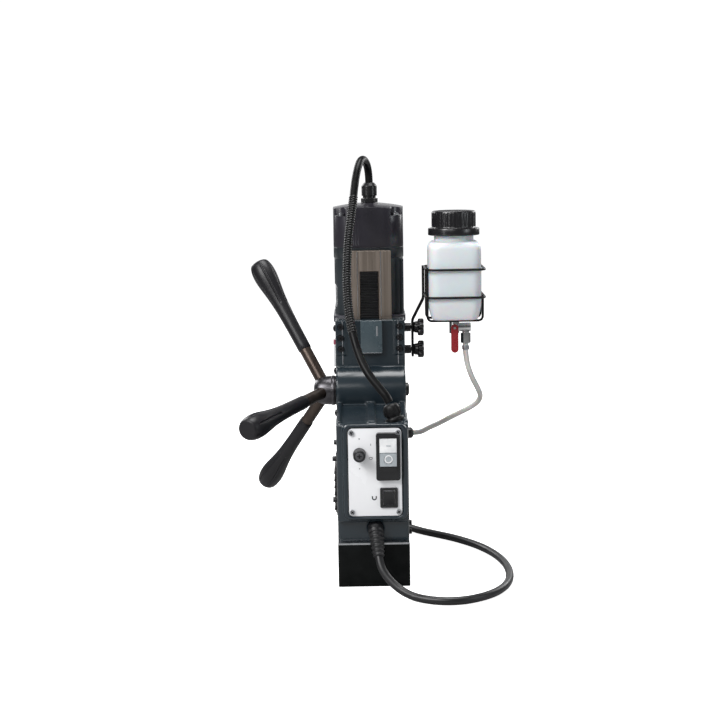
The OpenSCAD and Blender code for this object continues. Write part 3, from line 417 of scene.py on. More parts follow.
M = {
    "magnet_black": surface("magnet_black", (0.0012, 0.0018, 0.0017), 0.5, grain=900, bump=0.1, Specular_IOR_Level=0.14),
    "frame_paint": surface("frame_paint", (0.013, 0.021, 0.028), 0.26, tint=(0.016, 0.026, 0.033), patch=14,
                           grain=900, bump=0.07, depth=0.00010, spread=0.03, coat=0.2, coat_rough=0.12, fine=0.1),
    "bare_steel": surface("bare_steel", (0.42, 0.43, 0.44), 0.3, 1.0, grain=900, stretch=(1, 1, 0.04), bump=0.1),
    "copper": surface("copper", (0.45, 0.18, 0.08), 0.35, 1.0, grain=800, bump=0.3),
    "potting": surface("potting", (0.015, 0.015, 0.016), 0.5, bump=0.2),
    "brass": surface("brass", (0.55, 0.38, 0.14), 0.3, 1.0, bump=0.1),
    "zinc_steel": surface("zinc_steel", (0.46, 0.47, 0.49), 0.32, 1.0, patch=300, bump=0.12),
    "black_steel": surface("black_steel", (0.012, 0.012, 0.014), 0.33, 0.4, patch=300, bump=0.12),
    "grey_paint": surface("grey_paint", (0.060, 0.085, 0.098), 0.28, tint=(0.070, 0.097, 0.112), patch=30, grain=900,
                          bump=0.08, depth=0.0001, coat=0.35, coat_rough=0.15),
    "black_plastic": surface("black_plastic", (0.006, 0.006, 0.007), 0.34, grain=1500, bump=0.1, coat=0.1),
    "panel_white": surface("panel_white", (0.94, 0.94, 0.955), 0.24, tint=(0.95, 0.95, 0.965), patch=30, bump=0.04,
                           fine=0.02, coat=0.3),
    "board": surface("board", (0.02, 0.12, 0.05), 0.4, bump=0.1),
    "bronze": surface("bronze", (0.40, 0.26, 0.13), 0.4, 1.0, bump=0.2),
    "black_rubber": surface("black_rubber", (0.009, 0.009, 0.010), 0.4, tint=(0.012, 0.012, 0.013), patch=30, grain=1200,
                            bump=0.12, fine=0.15),
    "plug_rubber": surface("plug_rubber", (0.016, 0.016, 0.017), 0.45, grain=1000, bump=0.2),
    "lead_wrap": surface("lead_wrap", (0.0022, 0.0022, 0.0025), 0.26, grain=900, bump=0.02, fine=0.05, Specular_IOR_Level=0.34),
    "lead_sheath": surface("lead_sheath", (0.0022, 0.0022, 0.0025), 0.4, grain=900, bump=0.05, Specular_IOR_Level=0.16),
    "dark_steel": surface("dark_steel", (0.085, 0.082, 0.088), 0.36, 1.0, patch=120, grain=1200, bump=0.06, spread=0.04),
    "rod_steel": surface("rod_steel", (0.060, 0.045, 0.038), 0.34, 0.75, tint=(0.10, 0.075, 0.060), patch=40,
                         grain=900, stretch=(1, 1, 0.2), bump=0.12),
    "black_gloss": surface("black_gloss", (0.0085, 0.008, 0.0095), 0.3, tint=(0.010, 0.0095, 0.011), patch=20, grain=1500,
                           bump=0.05, depth=0.00006, coat=0.2, coat_rough=0.2, fine=0.1),
    "grip_satin": surface("grip_satin", (0.0062, 0.0056, 0.0074), 0.4, tint=(0.0075, 0.007, 0.009), patch=20,
                          grain=1600, bump=0.01, depth=0.00001, spread=0.03, fine=0.0, Specular_IOR_Level=0.4),
    "slide_steel": surface("slide_steel", (0.31, 0.255, 0.212), 0.36, 0.75, tint=(0.40, 0.335, 0.285), patch=230,
                           grain=1400, stretch=(1, 1, 0.015), bump=0.3, depth=0.00008, spread=0.1, fine=0.5),
    "motor_paint": surface("motor_paint", (0.017, 0.022, 0.026), 0.32, patch=16, grain=900, bump=0.07, depth=0.0001,
                           spread=0.04, fine=0.15),
    "cap_plastic": surface("cap_plastic", (0.020, 0.0185, 0.025), 0.3, tint=(0.023, 0.021, 0.028), patch=14, grain=1100,
                           bump=0.08, spread=0.03, coat=0.1, fine=0.12),
    "clear_hose": surface("clear_hose", (0.66, 0.65, 0.62), 0.25, tint=(0.74, 0.73, 0.70), bump=0.05, fine=0.1,
                          Subsurface_Weight=0.3, Subsurface_Scale=0.002),
    "chrome": surface("chrome", (0.62, 0.62, 0.62), 0.12, 1.0, bump=0.04, spread=0.05),
    "milky_plastic": surface("milky_plastic", (0.80, 0.785, 0.81), 0.38, tint=(0.83, 0.815, 0.84), patch=18, grain=700,
                             bump=0.08, fine=0.04, Subsurface_Weight=0.55, Subsurface_Scale=0.006),
    "wire_black": surface("wire_black", (0.004, 0.004, 0.0045), 0.38, grain=800, bump=0.04, Specular_IOR_Level=0.3),
    "button_white": surface("button_white", (0.74, 0.75, 0.76), 0.28, bump=0.04, fine=0.05),
    "button_grey": surface("button_grey", (0.34, 0.37, 0.39), 0.25, bump=0.05, fine=0.1, coat=0.3),
    "gland_black": surface("gland_black", (0.003, 0.003, 0.0034), 0.42, grain=900, bump=0.08, Specular_IOR_Level=0.25),
    "faded_red": surface("faded_red", (0.36, 0.10, 0.14), 0.4, bump=0.05),
    "fuse_grey": surface("fuse_grey", (0.07, 0.07, 0.075), 0.4, bump=0.05),
    "red_plastic": surface("red_plastic", (0.27, 0.010, 0.016), 0.28, tint=(0.36, 0.02, 0.025), bump=0.06, coat=0.3),
}

OWN_LOOK = {
    "rack": surface("rack_steel", (0.030, 0.030, 0.031), 0.36, 0.6, grain=1400, stretch=(0.05, 1, 1), bump=0.15),
    "gearbox_cover": surface("flange_grey", (0.085, 0.085, 0.100), 0.34, 0.3, patch=40, grain=900, bump=0.15),
    "gib_screws": M["black_steel"],
    "bracket_nuts": M["black_steel"],
}

for row in frame["record"]["subparts"]:
    cad = nodes[row["node"]]
    cad.data.materials.clear()
    cad.data.materials.append(OWN_LOOK.get(row["node"]) or M[row["material_slot"]])

# ---------------------------------------------------------------- cords


def straight(start, end, step=2.0):
    a, b = Vector(start), Vector(end)
    count = max(1, round((b - a).length / step))
    return [a.lerp(b, k / count) for k in range(count)]


def fold(cy, z, start_angle, radius=27.0, steps=44):
    """Half a turn of the hank, level, about (0, cy)."""
    out = []
    for k in range(steps):
        a = math.radians(start_angle + 180 * k / steps)
        out.append(Vector((radius * math.cos(a), cy + radius * math.sin(a), z)))
    return out


MAINS_ROUTE = [
    (5, -104, 41), (8, -111, 30), (16, -118, 19), (28, -126, 10), (42, -136, 5.5), (58, -145, 4.5),
    (76, -150, 4.5), (95, -148, 4.5), (113, -139, 4.5), (129, -125, 4.5), (141, -107, 4.5), (149, -86, 4.5),
    (153, -63, 4.5), (154, -39, 4.5), (152, -15, 4.5), (147, 9, 4.5), (139, 32, 4.5), (128, 54, 4.5),
    (114, 74, 4.5), (98, 92, 4.5), (80, 108, 4.5), (62, 124, 4.5), (47, 142, 4.5), (36, 162, 4.5),
    (29, 184, 4.5), (27, 206, 4.5), (27, 213, 4.5)]
LEAD_ROUTE = [
    (2, 136, 443), (1.5, 134, 453.5), (0, 128, 463), (-2.5, 119, 469), (-5.5, 108, 471), (-8.5, 97.5, 468.5),
    (-11.5, 88, 461), (-14, 80, 450), (-16, 72.5, 436.5), (-18, 63, 420), (-21, 50, 399), (-24, 39, 376),
    (-25.5, 28, 354), (-26, 16, 331), (-25, 4, 308), (-22, -8, 286), (-17, -20, 265), (-10, -33, 246),
    (-1, -43, 231), (9, -50, 219), (16, -54.5, 210.5), (19.6, -56.5, 203.8)]
HOSE_ROUTE = [
    (114.6, 70, 252), (114.6, 70, 241), (117, 72.5, 225), (123, 78, 208), (130, 86, 194), (134, 95, 183),
    (132, 104, 174), (124, 112, 166), (112, 120, 158), (99, 127, 150), (86, 133, 142), (73, 138, 135),
    (63, 141, 129.5), (54, 142, 128), (46, 142, 128)]
PLUG_ENTRY = (-14, 286, 55.05)
HANK_NEAR, HANK_FAR, HANK_SIDE, LAYER = 213.0, 367.0, 27.0, 9.2


def mains_path():
    path = smooth_path(MAINS_ROUTE, 2.0)[:-1]
    z = 4.5
    for turn_no in range(4):
        path += straight((HANK_SIDE, HANK_NEAR, z), (HANK_SIDE, HANK_FAR, z))
        path += fold(HANK_FAR, z, 0)
        if turn_no < 3:
            path += straight((-HANK_SIDE, HANK_FAR, z), (-HANK_SIDE, HANK_NEAR, z + LAYER))
            z += LAYER
            path += fold(HANK_NEAR, z, 180)
    rise = [(-27, HANK_FAR, z), (-27, 351, z + 1.2), (-25.2, 334, z + 6.0), (-20.5, 317, z + 14.5),
            (-16.2, 301, z + 21.3), PLUG_ENTRY]
    path += smooth_path(rise, 2.0)
    return path


def metres(path):
    return [tuple(p * MM) for p in path]


def spiral_tube(path, low, high, pitch, n=24):
    """A tube wound with a flat band: its radius steps up and down along a helix."""
    geo = tube(path, 1.0, n)
    walked, rows = 0.0, frames_along(path)
    for i, (p, t, a, b) in enumerate(rows):
        if i:
            walked += (p - rows[i - 1][0]).length
        for k in range(n):
            phase = (walked / pitch - k / n) % 1.0
            swell = (0.5 - 0.5 * math.cos(math.tau * phase)) ** 0.6
            w = math.tau * k / n
            r = low + (high - low) * swell
            geo.v[i * n + k] = p + a * (r * math.cos(w)) + b * (r * math.sin(w))
    return geo


# plug: moulded body with a ribbed grip, and its two pins
plug_turn = shift(*PLUG_ENTRY) @ turn(90, "X")
plug_profile = [(0, 1.5), (5.2, 1.5), (7.0, 0.0)]
for rib in range(5):
    at = 2.2 + rib * 3.1
    size = 7.2 + rib * 1.15
    plug_profile += [(size, at), (size, at + 1.5), (size - 0.9, at + 2.0), (size - 0.9, at + 2.8)]
plug_profile += [(16.4, 18.5), (17.6, 20.5), (18.0, 23.0), (18.0, 41.0), (17.4, 43.4), (15.5, 44.0), (0, 44.0)]
plug_geo = Geo().add(lathe(plug_profile, 72), plug_turn)
plug = piece("mains_plug_body", plug_geo, M["plug_rubber"], "frame", "plug_rubber", ("mains_plug",), degrees=50)
pins = Geo()
pin_profile = [(0, 40.0), (2.4, 40.0), (2.4, 60.6), (1.9, 62.2), (1.0, 62.9), (0, 63.0)]
for side in (-9.5, 9.5):
    pins.add(lathe(pin_profile, 24), plug_turn @ shift(side, 0, 0))
plug_pins = piece("mains_plug_pins", pins, M["chrome"], "frame", "chrome", degrees=40)

mains_line = mains_path()
mains = piece("mains_cord", tube(mains_line, 4.5, 18), M["black_rubber"], "frame", "black_rubber",
              ("mains_cable", "cable_hank"), degrees=70)
metres(mains_line)

lead_line = smooth_path(LEAD_ROUTE, 1.5)
lead = raw("motor_lead_sheath", tube(lead_line, 4.7, 24))
finish_piece(lead, M["lead_sheath"], None, "lead_wrap", ("motor_lead",), degrees=70)
wrap_line = [p for p in smooth_path(LEAD_ROUTE, 0.3) if p.y < 74 and 276 < p.z < 428]
lead_spiral = raw("motor_lead_spiral", spiral_tube(wrap_line, 4.55, 5.3, 3.1, 24))
finish_piece(lead_spiral, M["lead_wrap"], None, "lead_wrap", degrees=180)
for part in (lead, lead_spiral):
    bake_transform(part)
metres(reversed(lead_line))

hose_line = smooth_path(HOSE_ROUTE, 1.5)
hose = piece("coolant_hose_line", tube(hose_line, 3.3, 20), M["clear_hose"], "carriage", "clear_hose",
             ("coolant_hose",), degrees=70)
metres(hose_line)

# strain relief of the mains lead: a tapered boot with ribs
boot_line = smooth_path([(2, -80.5, 65.0), (2.7, -88, 60.5), (3.8, -96, 51.5), (4.7, -102, 43.5), (5.1, -104.4, 40.4)],
                        0.5)
boot_radius = []
for i in range(len(boot_line)):
    u = i / (len(boot_line) - 1)
    wave = math.sin(math.tau * 6 * (u - 0.1) / 0.82)
    rib = 0.75 * max(-0.6, wave) if 0.1 < u < 0.92 else 0.2
    boot_radius.append(8.3 - 2.3 * u + rib - 1.2 * max(0.0, (u - 0.95) / 0.05) ** 2)
boot = piece("mains_boot_ribs", tube(boot_line, boot_radius, 28), M["black_rubber"], "frame", "black_rubber",
             ("mains_boot",), degrees=50)

# ---------------------------------------------------------------- carried-over CAD parts


def soften(node, width, degrees=30, segments=2):
    """Rounds the edges of a CAD part that stays, without moving its own mesh."""
    obj = nodes[node]
    normals = obj.data.attributes.get("custom_normal")
    if normals:
        obj.data.attributes.remove(normals)
    obj.data.shade_smooth()
    weld = obj.modifiers.new("weld", "WELD")
    weld.merge_threshold = 0.00002
    edges = obj.modifiers.new("edges", "BEVEL")
    edges.width, edges.segments = width * MM, segments
    edges.limit_method, edges.angle_limit = "ANGLE", math.radians(degrees)
    edges.harden_normals = True
    edges.use_clamp_overlap = True


SOFTENED = {
    "magnet_body": 0.8, "magnet_coil": 0.3, "magnet_potting": 0.3, "magnet_top_plate": 0.3, "guide_strips": 0.4,
    "gib_strip": 0.3, "gib_screws": 0.25, "guide_bolts": 0.35, "stop_block": 0.8, "vent_cover": 0.4,
    "panel_screws": 0.25, "circuit_board": 0.2, "switch_housing": 0.5,
    "rocker_housing": 0.4, "pinion_bushes": 0.3, "pinion_end_cap": 0.6, "mains_gland": 0.5, "cable_tie": 0.3,
    "lead_gland_upper": 0.5, "pinion_shaft": 0.15, "handle_hub": 0.5,
    "handle_rods": 0.4, "slide_plate": 0.35, "rack": 0.12, "gearbox_cover": 0.5, "cap_screws": 0.3,
    "motor_field": 0.4, "brush_holders": 0.3, "ball_bearings": 0.3, "coolant_ring": 0.5, "valve_body": 0.25,
    "bracket_nuts": 0.3, "start_button": 0.7, "stop_button": 0.7, "magnet_rocker": 0.5, "fuse_cap": 0.5,
    "valve_lever": 0.6, "armature": 0.2, "intermediate_shaft": 0.15, "spindle": 0.4, "arbor_screws": 0.2}
for node, width in SOFTENED.items():
    soften(node, width)


def cast_copy(name, node, voxel, rounds, body):
    """The CAD part's own shape with the soft edges of a casting, as a piece that stands for it."""
    obj = bpy.data.objects.new(name, nodes[node].data.copy())
    bpy.context.scene.collection.objects.link(obj)
    weld = obj.modifiers.new("weld", "WELD")
    weld.merge_threshold = 0.00002
    cast(obj, voxel, rounds)
    slim = obj.modifiers.new("slim", "DECIMATE")
    slim.ratio = 0.45
    apply_modifiers(obj)
    finish_piece(obj, M["frame_paint"], body, "frame_paint", (node,), degrees=180)
    return obj


cast_copy("frame_body", "frame_casting", 1.1, 5, "frame")
cast_copy("gearbox_body", "gearbox_housing", 1.1, 5, "carriage")

# ---------------------------------------------------------------- motor

MOTOR_Y = 136.0


def superblock(rings, steps=10):
    """A rounded block about the motor's or bottle's axis: rows of (z, half width, corner radius)."""
    points, faces, n = [], [], 4 * (steps + 1)
    for z, half, r in rings:
        points += [(x, y, z) for x, y in rounded(2 * half, 2 * half, r, steps)]
    for row in range(len(rings) - 1):
        for i in range(n):
            a, b = row * n + i, row * n + (i + 1) % n
            faces.append((a, b, b + n, a + n))
    faces.append(tuple(reversed(range(n))))
    faces.append(tuple(range((len(rings) - 1) * n, len(rings) * n)))
    return Geo(points, faces)


shell_rings = [(284.0, 41.6, 23.6), (284.6, 42.0, 24.0), (353.0, 42.0, 24.0)]
shell = raw("motor_body", Geo().add(superblock(shell_rings, 12), shift(0, MOTOR_Y, 0)))
# Label recess on the side, which runs out at the rear corner
recess = Geo().add(prism(rounded(27, 54, 3.0), 0, 8), shift(-39.3, MOTOR_Y - 6, 307.5) @ turn(-90, "Y"))
cut(shell, recess)
ridge = Geo().add(prism(rounded(3.0, 5.0, 1.2), 285, 352), shift(39.4, MOTOR_Y - 39.4, 0) @ turn(45, "Z"))
cut(shell, ridge, "UNION")
finish_piece(shell, M["motor_paint"], "carriage", "motor_paint", ("motor_shell",), edge=0.6, segments=3, degrees=40)
plate_geo = Geo().add(prism(rounded(24.5, 45, 2.4), 0, 0.5, 0.15), shift(-39.32, MOTOR_Y - 4, 307.5) @ turn(-90, "Y"))
piece("motor_plate", plate_geo, M["panel_white"], "carriage", "panel_white", degrees=40)

CAP_LOW, CAP_HIGH = 353.0, 419.0


band_rings = [(353.0, 42.2, 25.5), (353.6, 42.7, 26.0), (365.6, 42.7, 26.0), (366.0, 42.3, 25.6)]
band = raw("motor_band", Geo().add(superblock(band_rings, 16), shift(0, MOTOR_Y, 0)))
finish_piece(band, M["motor_paint"], "carriage", "motor_paint", degrees=40)
cap_rings = [(366.0, 42.3, 25.6), (366.5, 42.7, 26.0), (430.0, 42.7, 26.0)]
cap_shell = raw("motor_cap_shell", Geo().add(superblock(cap_rings, 16), shift(0, MOTOR_Y, 0)))
CROWN_R = 190.0
crown = [(0, CAP_HIGH - CROWN_R)] + [(CROWN_R * math.sin(a), CAP_HIGH - CROWN_R + CROWN_R * math.cos(a))
                                     for a in (math.radians(26 - 0.65 * k) for k in range(40))]
crown = [(0, 340.0), (80.0, 340.0)] + crown[1:] + [(0, CAP_HIGH)]
cut(cap_shell, Geo().add(lathe(crown, 160), shift(0, MOTOR_Y, 0)), "INTERSECT")
rim = cap_shell.modifiers.new("rim", "BEVEL")
rim.width, rim.segments = 1.8 * MM, 4
rim.limit_method, rim.angle_limit = "ANGLE", math.radians(40)
apply_modifiers(cap_shell)
pockets = Geo()
for sx in (-1, 1):
    for sy in (-1, 1):
        pocket = lathe([(0, 404), (10.9, 404), (11.5, 404.6), (11.5, 424), (0, 424)], 56)
        pockets.add(pocket, shift(38 * sx, MOTOR_Y + 38 * sy, 0))
cut(cap_shell, pockets)
grooves = Geo()
for side in range(4):
    for k in range(6):
        slot_geo = prism(rounded(1.3, 3.0, 0.6, 3), 369, 400)
        grooves.add(slot_geo, shift(0, MOTOR_Y, 0) @ turn(90 * side, "Z") @ shift(-27 + 2.9 * k, -44.0, 0))
cut(cap_shell, grooves)
finish_piece(cap_shell, M["cap_plastic"], "carriage", "cap_plastic", ("motor_cap",), edge=0.35, segments=2, degrees=38)

# ---------------------------------------------------------------- feed handle

PINION_Y, PINION_Z, ARM_X = 68.0, 197.0, -52.6
GRIP_IN, GRIP_TIP = 58.0, 184.0
FLUTES = 6
FLUTE_HALF_WIDTH = 1.7


def grip_radius(t):
    """Grip radius at a distance t from its tip."""
    if t < 17:
        return 14.25 - 4.75 * (1 - math.sqrt(max(0.0, 1 - ((17 - t) / 17) ** 2)))
    return 7.9 + 6.35 * (1 + ((t - 17) / 42) ** 2) ** -1.8


def flute_depth(t):
    if not 8 < t < 62:
        return 0.0
    return 1.0 * min(1.0, (t - 8) / 2.5) ** 0.5 * min(1.0, (62 - t) / 2.5) ** 0.5


def grip_geo():
    n = 240
    stations = [0.15, 0.5, 1.2, 2.2, 3.5, 5.0, 6.5, 8.0, 8.7, 9.5, 10.5] + [12 + 2 * k for k in range(24)]
    stations += [59.5, 60.5, 61.3, 62.0, 64.0] + [67 + 3.5 * k for k in range(16)]
    stations += [GRIP_TIP - GRIP_IN - 0.9, GRIP_TIP - GRIP_IN - 0.3, GRIP_TIP - GRIP_IN]
    points, faces = [(0, 0, GRIP_TIP)], []
    points += [(8.9 * math.cos(math.tau * k / n), 8.9 * math.sin(math.tau * k / n), GRIP_TIP) for k in range(n)]
    for t in stations:
        r, deep = grip_radius(t), flute_depth(t)
        r -= 0.5 * max(0.0, 1 - (GRIP_TIP - GRIP_IN - t) / 0.9)
        for k in range(n):
            a = math.tau * k / n
            away = abs((a * FLUTES / math.tau) % 1.0 - 0.5) * math.tau / FLUTES * r
            rr = r - deep * (0.5 + 0.5 * math.cos(math.pi * min(1.0, away / FLUTE_HALF_WIDTH)))
            points.append((rr * math.cos(a), rr * math.sin(a), GRIP_TIP - t))
    rows = len(stations) + 1
    faces += [(0, 1 + k, 1 + (k + 1) % n) for k in range(n)]
    for row in range(rows - 1):
        for k in range(n):
            a, b = 1 + row * n + k, 1 + row * n + (k + 1) % n
            faces.append((a, a + n, b + n, b))
    last = 1 + (rows - 1) * n
    faces.append(tuple(last + k for k in range(n)))
    return Geo(points, faces)


def on_arm(i):
    return (shift(ARM_X, PINION_Y, PINION_Z) @ turn(-25 + 120 * i, "X") @ turn(-27, "Y"))


grips = Geo()
for i in range(3):
    grips.add(grip_geo(), on_arm(i))
piece("handle_grip_mouldings", grips, M["grip_satin"], "handle", "black_gloss", ("handle_grips",), degrees=60)

# Dark washer between the hub and the casting
washer_profile = [(9.5, 0), (17.0, 0), (17.3, 0.2), (17.3, 1.2), (17.0, 1.4), (9.5, 1.4), (9.5, 0)]
piece("hub_washer", Geo().add(lathe(washer_profile, 72), shift(-41.6, PINION_Y, PINION_Z) @ turn(-90, "Y")),
      M["black_steel"], "handle", "black_steel", degrees=40)

# Turned and polished hub that the rods go into
hub_profile = [(0, 0), (17.2, 0), (17.8, 0.3), (18, 1.0), (18, 3.4), (17.7, 4.0), (17.4, 4.4)]
for k in range(13):
    u = k / 12
    hub_profile.append((9.4 + 8.0 * math.cos(u * math.pi / 2) ** 0.85, 4.6 + 19.4 * math.sin(u * math.pi / 2)))
hub_profile += [(8.8, 24.9), (7.9, 25.4), (0, 25.5)]
hub = piece("handle_hub_turned", Geo().add(lathe(hub_profile, 96), shift(-43, PINION_Y, PINION_Z) @ turn(-90, "Y")),
            M["dark_steel"], "handle", "dark_steel", ("handle_hub",), degrees=40)

# ---------------------------------------------------------------- coolant bottle, cap and basket

BX, BY = 101.0, 70.0


def bottle_geo():
    rings = [(282.0, 25.2, 9.6), (282.3, 26.2, 10.2), (283.0, 27.0, 10.8), (284.4, 27.6, 11.2)]
    for k in range(1, 9):
        u = k / 8
        rings.append((284.4 + 20 * u, 27.6 + 3.4 * math.sin(u * math.pi / 2), 11.2 + 1.8 * u))
    rings += [(306.0, 31.0, 13.0), (330.0, 30.85, 13.0), (352.0, 31.0, 13.0), (362.0, 31.0, 13.0), (365.0, 30.85, 13.2)]
    for k in range(1, 8):
        a = math.pi / 2 * k / 7
        rings.append((365.6 + 9.4 * math.sin(a), 23.6 + 7.25 * math.cos(a), 13.2 + 10.3 * (1 - math.cos(a))))
    rings += [(378.0, 23.5, 23.49), (399.4, 23.5, 23.49), (400.0, 22.9, 22.89)]
    inner = [(400.0, 21.4, 21.39), (377.5, 21.4, 21.39)]
    for k in range(7, 0, -1):
        a = math.pi / 2 * k / 7
        inner.append((364.2 + 9.2 * math.sin(a), 21.6 + 7.6 * math.cos(a), 12.0 + 9.5 * (1 - math.cos(a))))
    inner += [(306.0, 29.3, 11.4), (294.0, 27.4, 10.6), (286.0, 23.6, 9.2), (284.2, 22.4, 8.6)]
    return superblock(rings + inner, 9)


bottle = raw("coolant_bottle", Geo().add(bottle_geo(), shift(BX, BY, 0)))
finish_piece(bottle, M["milky_plastic"], "carriage", "milky_plastic", ("bottle",), degrees=60)


def ribbed_cap():
    """Screw cap: a smooth flange below, upright ribs above, and a dished top."""
    n = 288
    rows = [(0, 381.2, 0), (29.4, 381.2, 0), (30.3, 381.6, 0), (30.5, 382.4, 0), (30.5, 388.6, 0), (30.2, 389.4, 0),
            (29.4, 389.8, 0), (27.2, 390.0, 0), (26.4, 390.4, 0), (26.0, 391.2, 0), (26.0, 392.2, 1),
            (26.0, 407.0, 1), (26.0, 408.0, 0), (25.6, 409.2, 0), (24.6, 409.8, 0), (23.0, 410.0, 0),
            (21.6, 409.7, 0), (20.6, 409.1, 0), (0, 409.0, 0)]
    points, faces, rings = [], [], []
    for r, z, ribs in rows:
        if r == 0:
            rings.append([len(points)])
            points.append((0, 0, z))
            continue
        rings.append(list(range(len(points), len(points) + n)))
        for k in range(n):
            out = (0.22 if (k // 4) % 2 else -0.1) if ribs else 0.0
            a = math.tau * k / n
            points.append(((r + out) * math.cos(a), (r + out) * math.sin(a), z))
    for a, b in zip(rings, rings[1:]):
        for k in range(n):
            i, j = k, (k + 1) % n
            if len(a) == 1:
                faces.append((a[0], b[j], b[i]))
            elif len(b) == 1:
                faces.append((a[i], a[j], b[0]))
            else:
                faces.append((a[i], a[j], b[j], b[i]))
    return Geo(points, faces)


cap_low, cap_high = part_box("bottle_cap")
cap_geo = Geo().add(ribbed_cap(), shift(BX, BY, cap_low[2] / MM - 381.2 + (cap_high[2] - cap_low[2]) / MM - 28.8))
piece("bottle_screw_cap", cap_geo, M["black_gloss"], "cap", "black_gloss", ("bottle_cap",), degrees=40)

WIRE = 1.5


def loop_wire(outline, z):
    path = [Vector((x, y, z)) for x, y in outline]
    n, k = len(path), 12
    points, faces = [], []
    for i, p in enumerate(path):
        t = (path[(i + 1) % n] - path[i - 1]).normalized()
        side = Vector((t.y, -t.x, 0))
        for j in range(k):
            w = math.tau * j / k
            points.append(p + side * (WIRE * math.cos(w)) + Vector((0, 0, WIRE * math.sin(w))))
    for i in range(n):
        for j in range(k):
            a, b = i * k + j, i * k + (j + 1) % k
            c, d = ((i + 1) % n) * k + j, ((i + 1) % n) * k + (j + 1) % k
            faces.append((a, c, d, b))
    return Geo(points, faces)


def bent_wire(corners, radius):
    """A wire through corner points, each rounded to a radius."""
    pts = [Vector(c) for c in corners]
    path = [pts[0]]
    for a, b, c in zip(pts, pts[1:], pts[2:]):
        into, out = (b - a).normalized(), (c - b).normalized()
        angle = into.angle(out)
        back = min(radius * math.tan(angle / 2), 0.45 * min((b - a).length, (c - b).length))
        start, end = b - into * back, b + out * back
        for k in range(7):
            u = k / 6
            path.append(start * (1 - u) ** 2 + b * (2 * u * (1 - u)) + end * u ** 2)
    path.append(pts[-1])
    return tube(path, WIRE, 12)


basket = Geo()
for z in (309.6, 342.3):
    basket.add(loop_wire(rounded(69.1, 69.1, 10.6, 8, BX, BY), z))
for y in (53, 87):
    right_top = 344.3 if y > 70 else 311.0
    basket.add(bent_wire([(BX - 32.7, y, 344.3), (BX - 32.7, y, 280.6), (BX + 32.7, y, 280.6),
                          (BX + 32.7, y, right_top)], 6))
for side in (-4, 4):
    basket.add(bent_wire([(52.3, 110 + side, 230.8), (52.3, 110 + side, 276), (65.2, 94 + side, 304),
                          (65.2, 94 + side, 343.4)], 9))
basket.add(bent_wire([(52.3, 106, 232), (52.3, 114, 232)], 1))
piece("basket_wires", basket, M["wire_black"], "carriage", "wire_black", ("bottle_basket",), degrees=60)


def star_geo():
    """Star knob along +Z: stud, hub and a six-lobed head with rounded edges."""
    outline = []
    for k in range(144):
        a = math.tau * k / 144
        r = 9.75 + 1.65 * math.cos(6 * a) - 0.15 * math.cos(12 * a)
        outline.append((r * math.cos(a), r * math.sin(a)))
    geo = Geo().add(prism(outline, 20.7, 28.2, 1.9, 5))
    geo.add(lathe([(0, 15.8), (5.8, 15.8), (6.8, 16.6), (7.0, 18), (7.4, 20.9), (0, 20.9)], 48))
    geo.add(lathe([(0, 0), (2.1, 0), (2.4, 0.4), (2.4, 16.5), (0, 16.5)], 24))
    return geo


for name, z in (("upper", 266.8), ("lower", 239.5)):
    knob_geo = Geo().add(star_geo(), shift(38, 110, z) @ turn(90, "Y") @ turn(15, "Z"))
    piece("star_knob_" + name + "_moulding", knob_geo, M["black_gloss"], "knob_" + name, "black_gloss",
          ("star_knob_" + name,), degrees=50)

# ---------------------------------------------------------------- small extras

PANEL_FACE = -81.0
FOOT_HALF_W = 40.0
FOOT_REAR_Y = -72.0
FOOT_FRONT_Y = 78.0
MAGNET_TOP = 50.0
panel_geo = prism(rounded(59, 99, 5, 8), 0, 2.0, 0.35, 3)
piece("panel_plate", Geo().add(panel_geo, shift(2.5, -79.0, 130) @ turn(90, "X")), M["panel_white"], "frame",
      "panel_white", ("control_panel",), degrees=30)

# Plain marks on the panel: an oval, dots and a horseshoe


def arc_mark(cx, cz, rx, rz, start, end, wide):
    """A thin raised stroke on the panel, along part of an ellipse."""
    points, faces, count = [], [], 40
    for k in range(count + 1):
        a = math.radians(start + (end - start) * k / count)
        for r_off, y in ((-wide / 2, 0), (wide / 2, 0), (wide / 2, -0.12), (-wide / 2, -0.12)):
            points.append((cx + (rx + r_off) * math.cos(a), PANEL_FACE + y, cz + (rz + r_off) * math.sin(a)))
    for k in range(count):
        for j in range(4):
            a, b = k * 4 + j, k * 4 + (j + 1) % 4
            faces.append((a, b, b + 4, a + 4))
    if abs(end - start) < 359:
        faces += [(0, 1, 2, 3), tuple(count * 4 + j for j in (3, 2, 1, 0))]
        return Geo(points, faces)
    geo = Geo(points[:-4], faces)
    geo.f = [tuple(i % len(geo.v) for i in f) for f in geo.f]
    return geo


def bar_mark(x0, z0, x1, z1):
    return Geo([(x, y, z) for y in (PANEL_FACE, PANEL_FACE - 0.12) for x, z in ((x0, z0), (x1, z0), (x1, z1), (x0, z1))],
               [(0, 3, 2, 1), (4, 5, 6, 7), (0, 1, 5, 4), (1, 2, 6, 5), (2, 3, 7, 6), (3, 0, 4, 7)])


marks = Geo()
marks.add(arc_mark(-2.0, 146.0, 1.9, 1.15, 0, 360, 0.5))
marks.add(bar_mark(-2.2, 160.0, -1.7, 162.4))
marks.add(arc_mark(1.2, 101.2, 2.1, 2.1, 180, 360, 1.3))
marks.add(bar_mark(-1.55, 101.2, -0.25, 103.2))
marks.add(bar_mark(2.65, 101.2, 3.95, 103.2))
for x, z in ((-14.6, 168.0), (-14.6, 134.5)):
    marks.add(arc_mark(x, z, 0.5, 0.5, 0, 360, 0.4))
piece("panel_marks", marks, M["black_plastic"], "frame", "black_plastic", degrees=30)

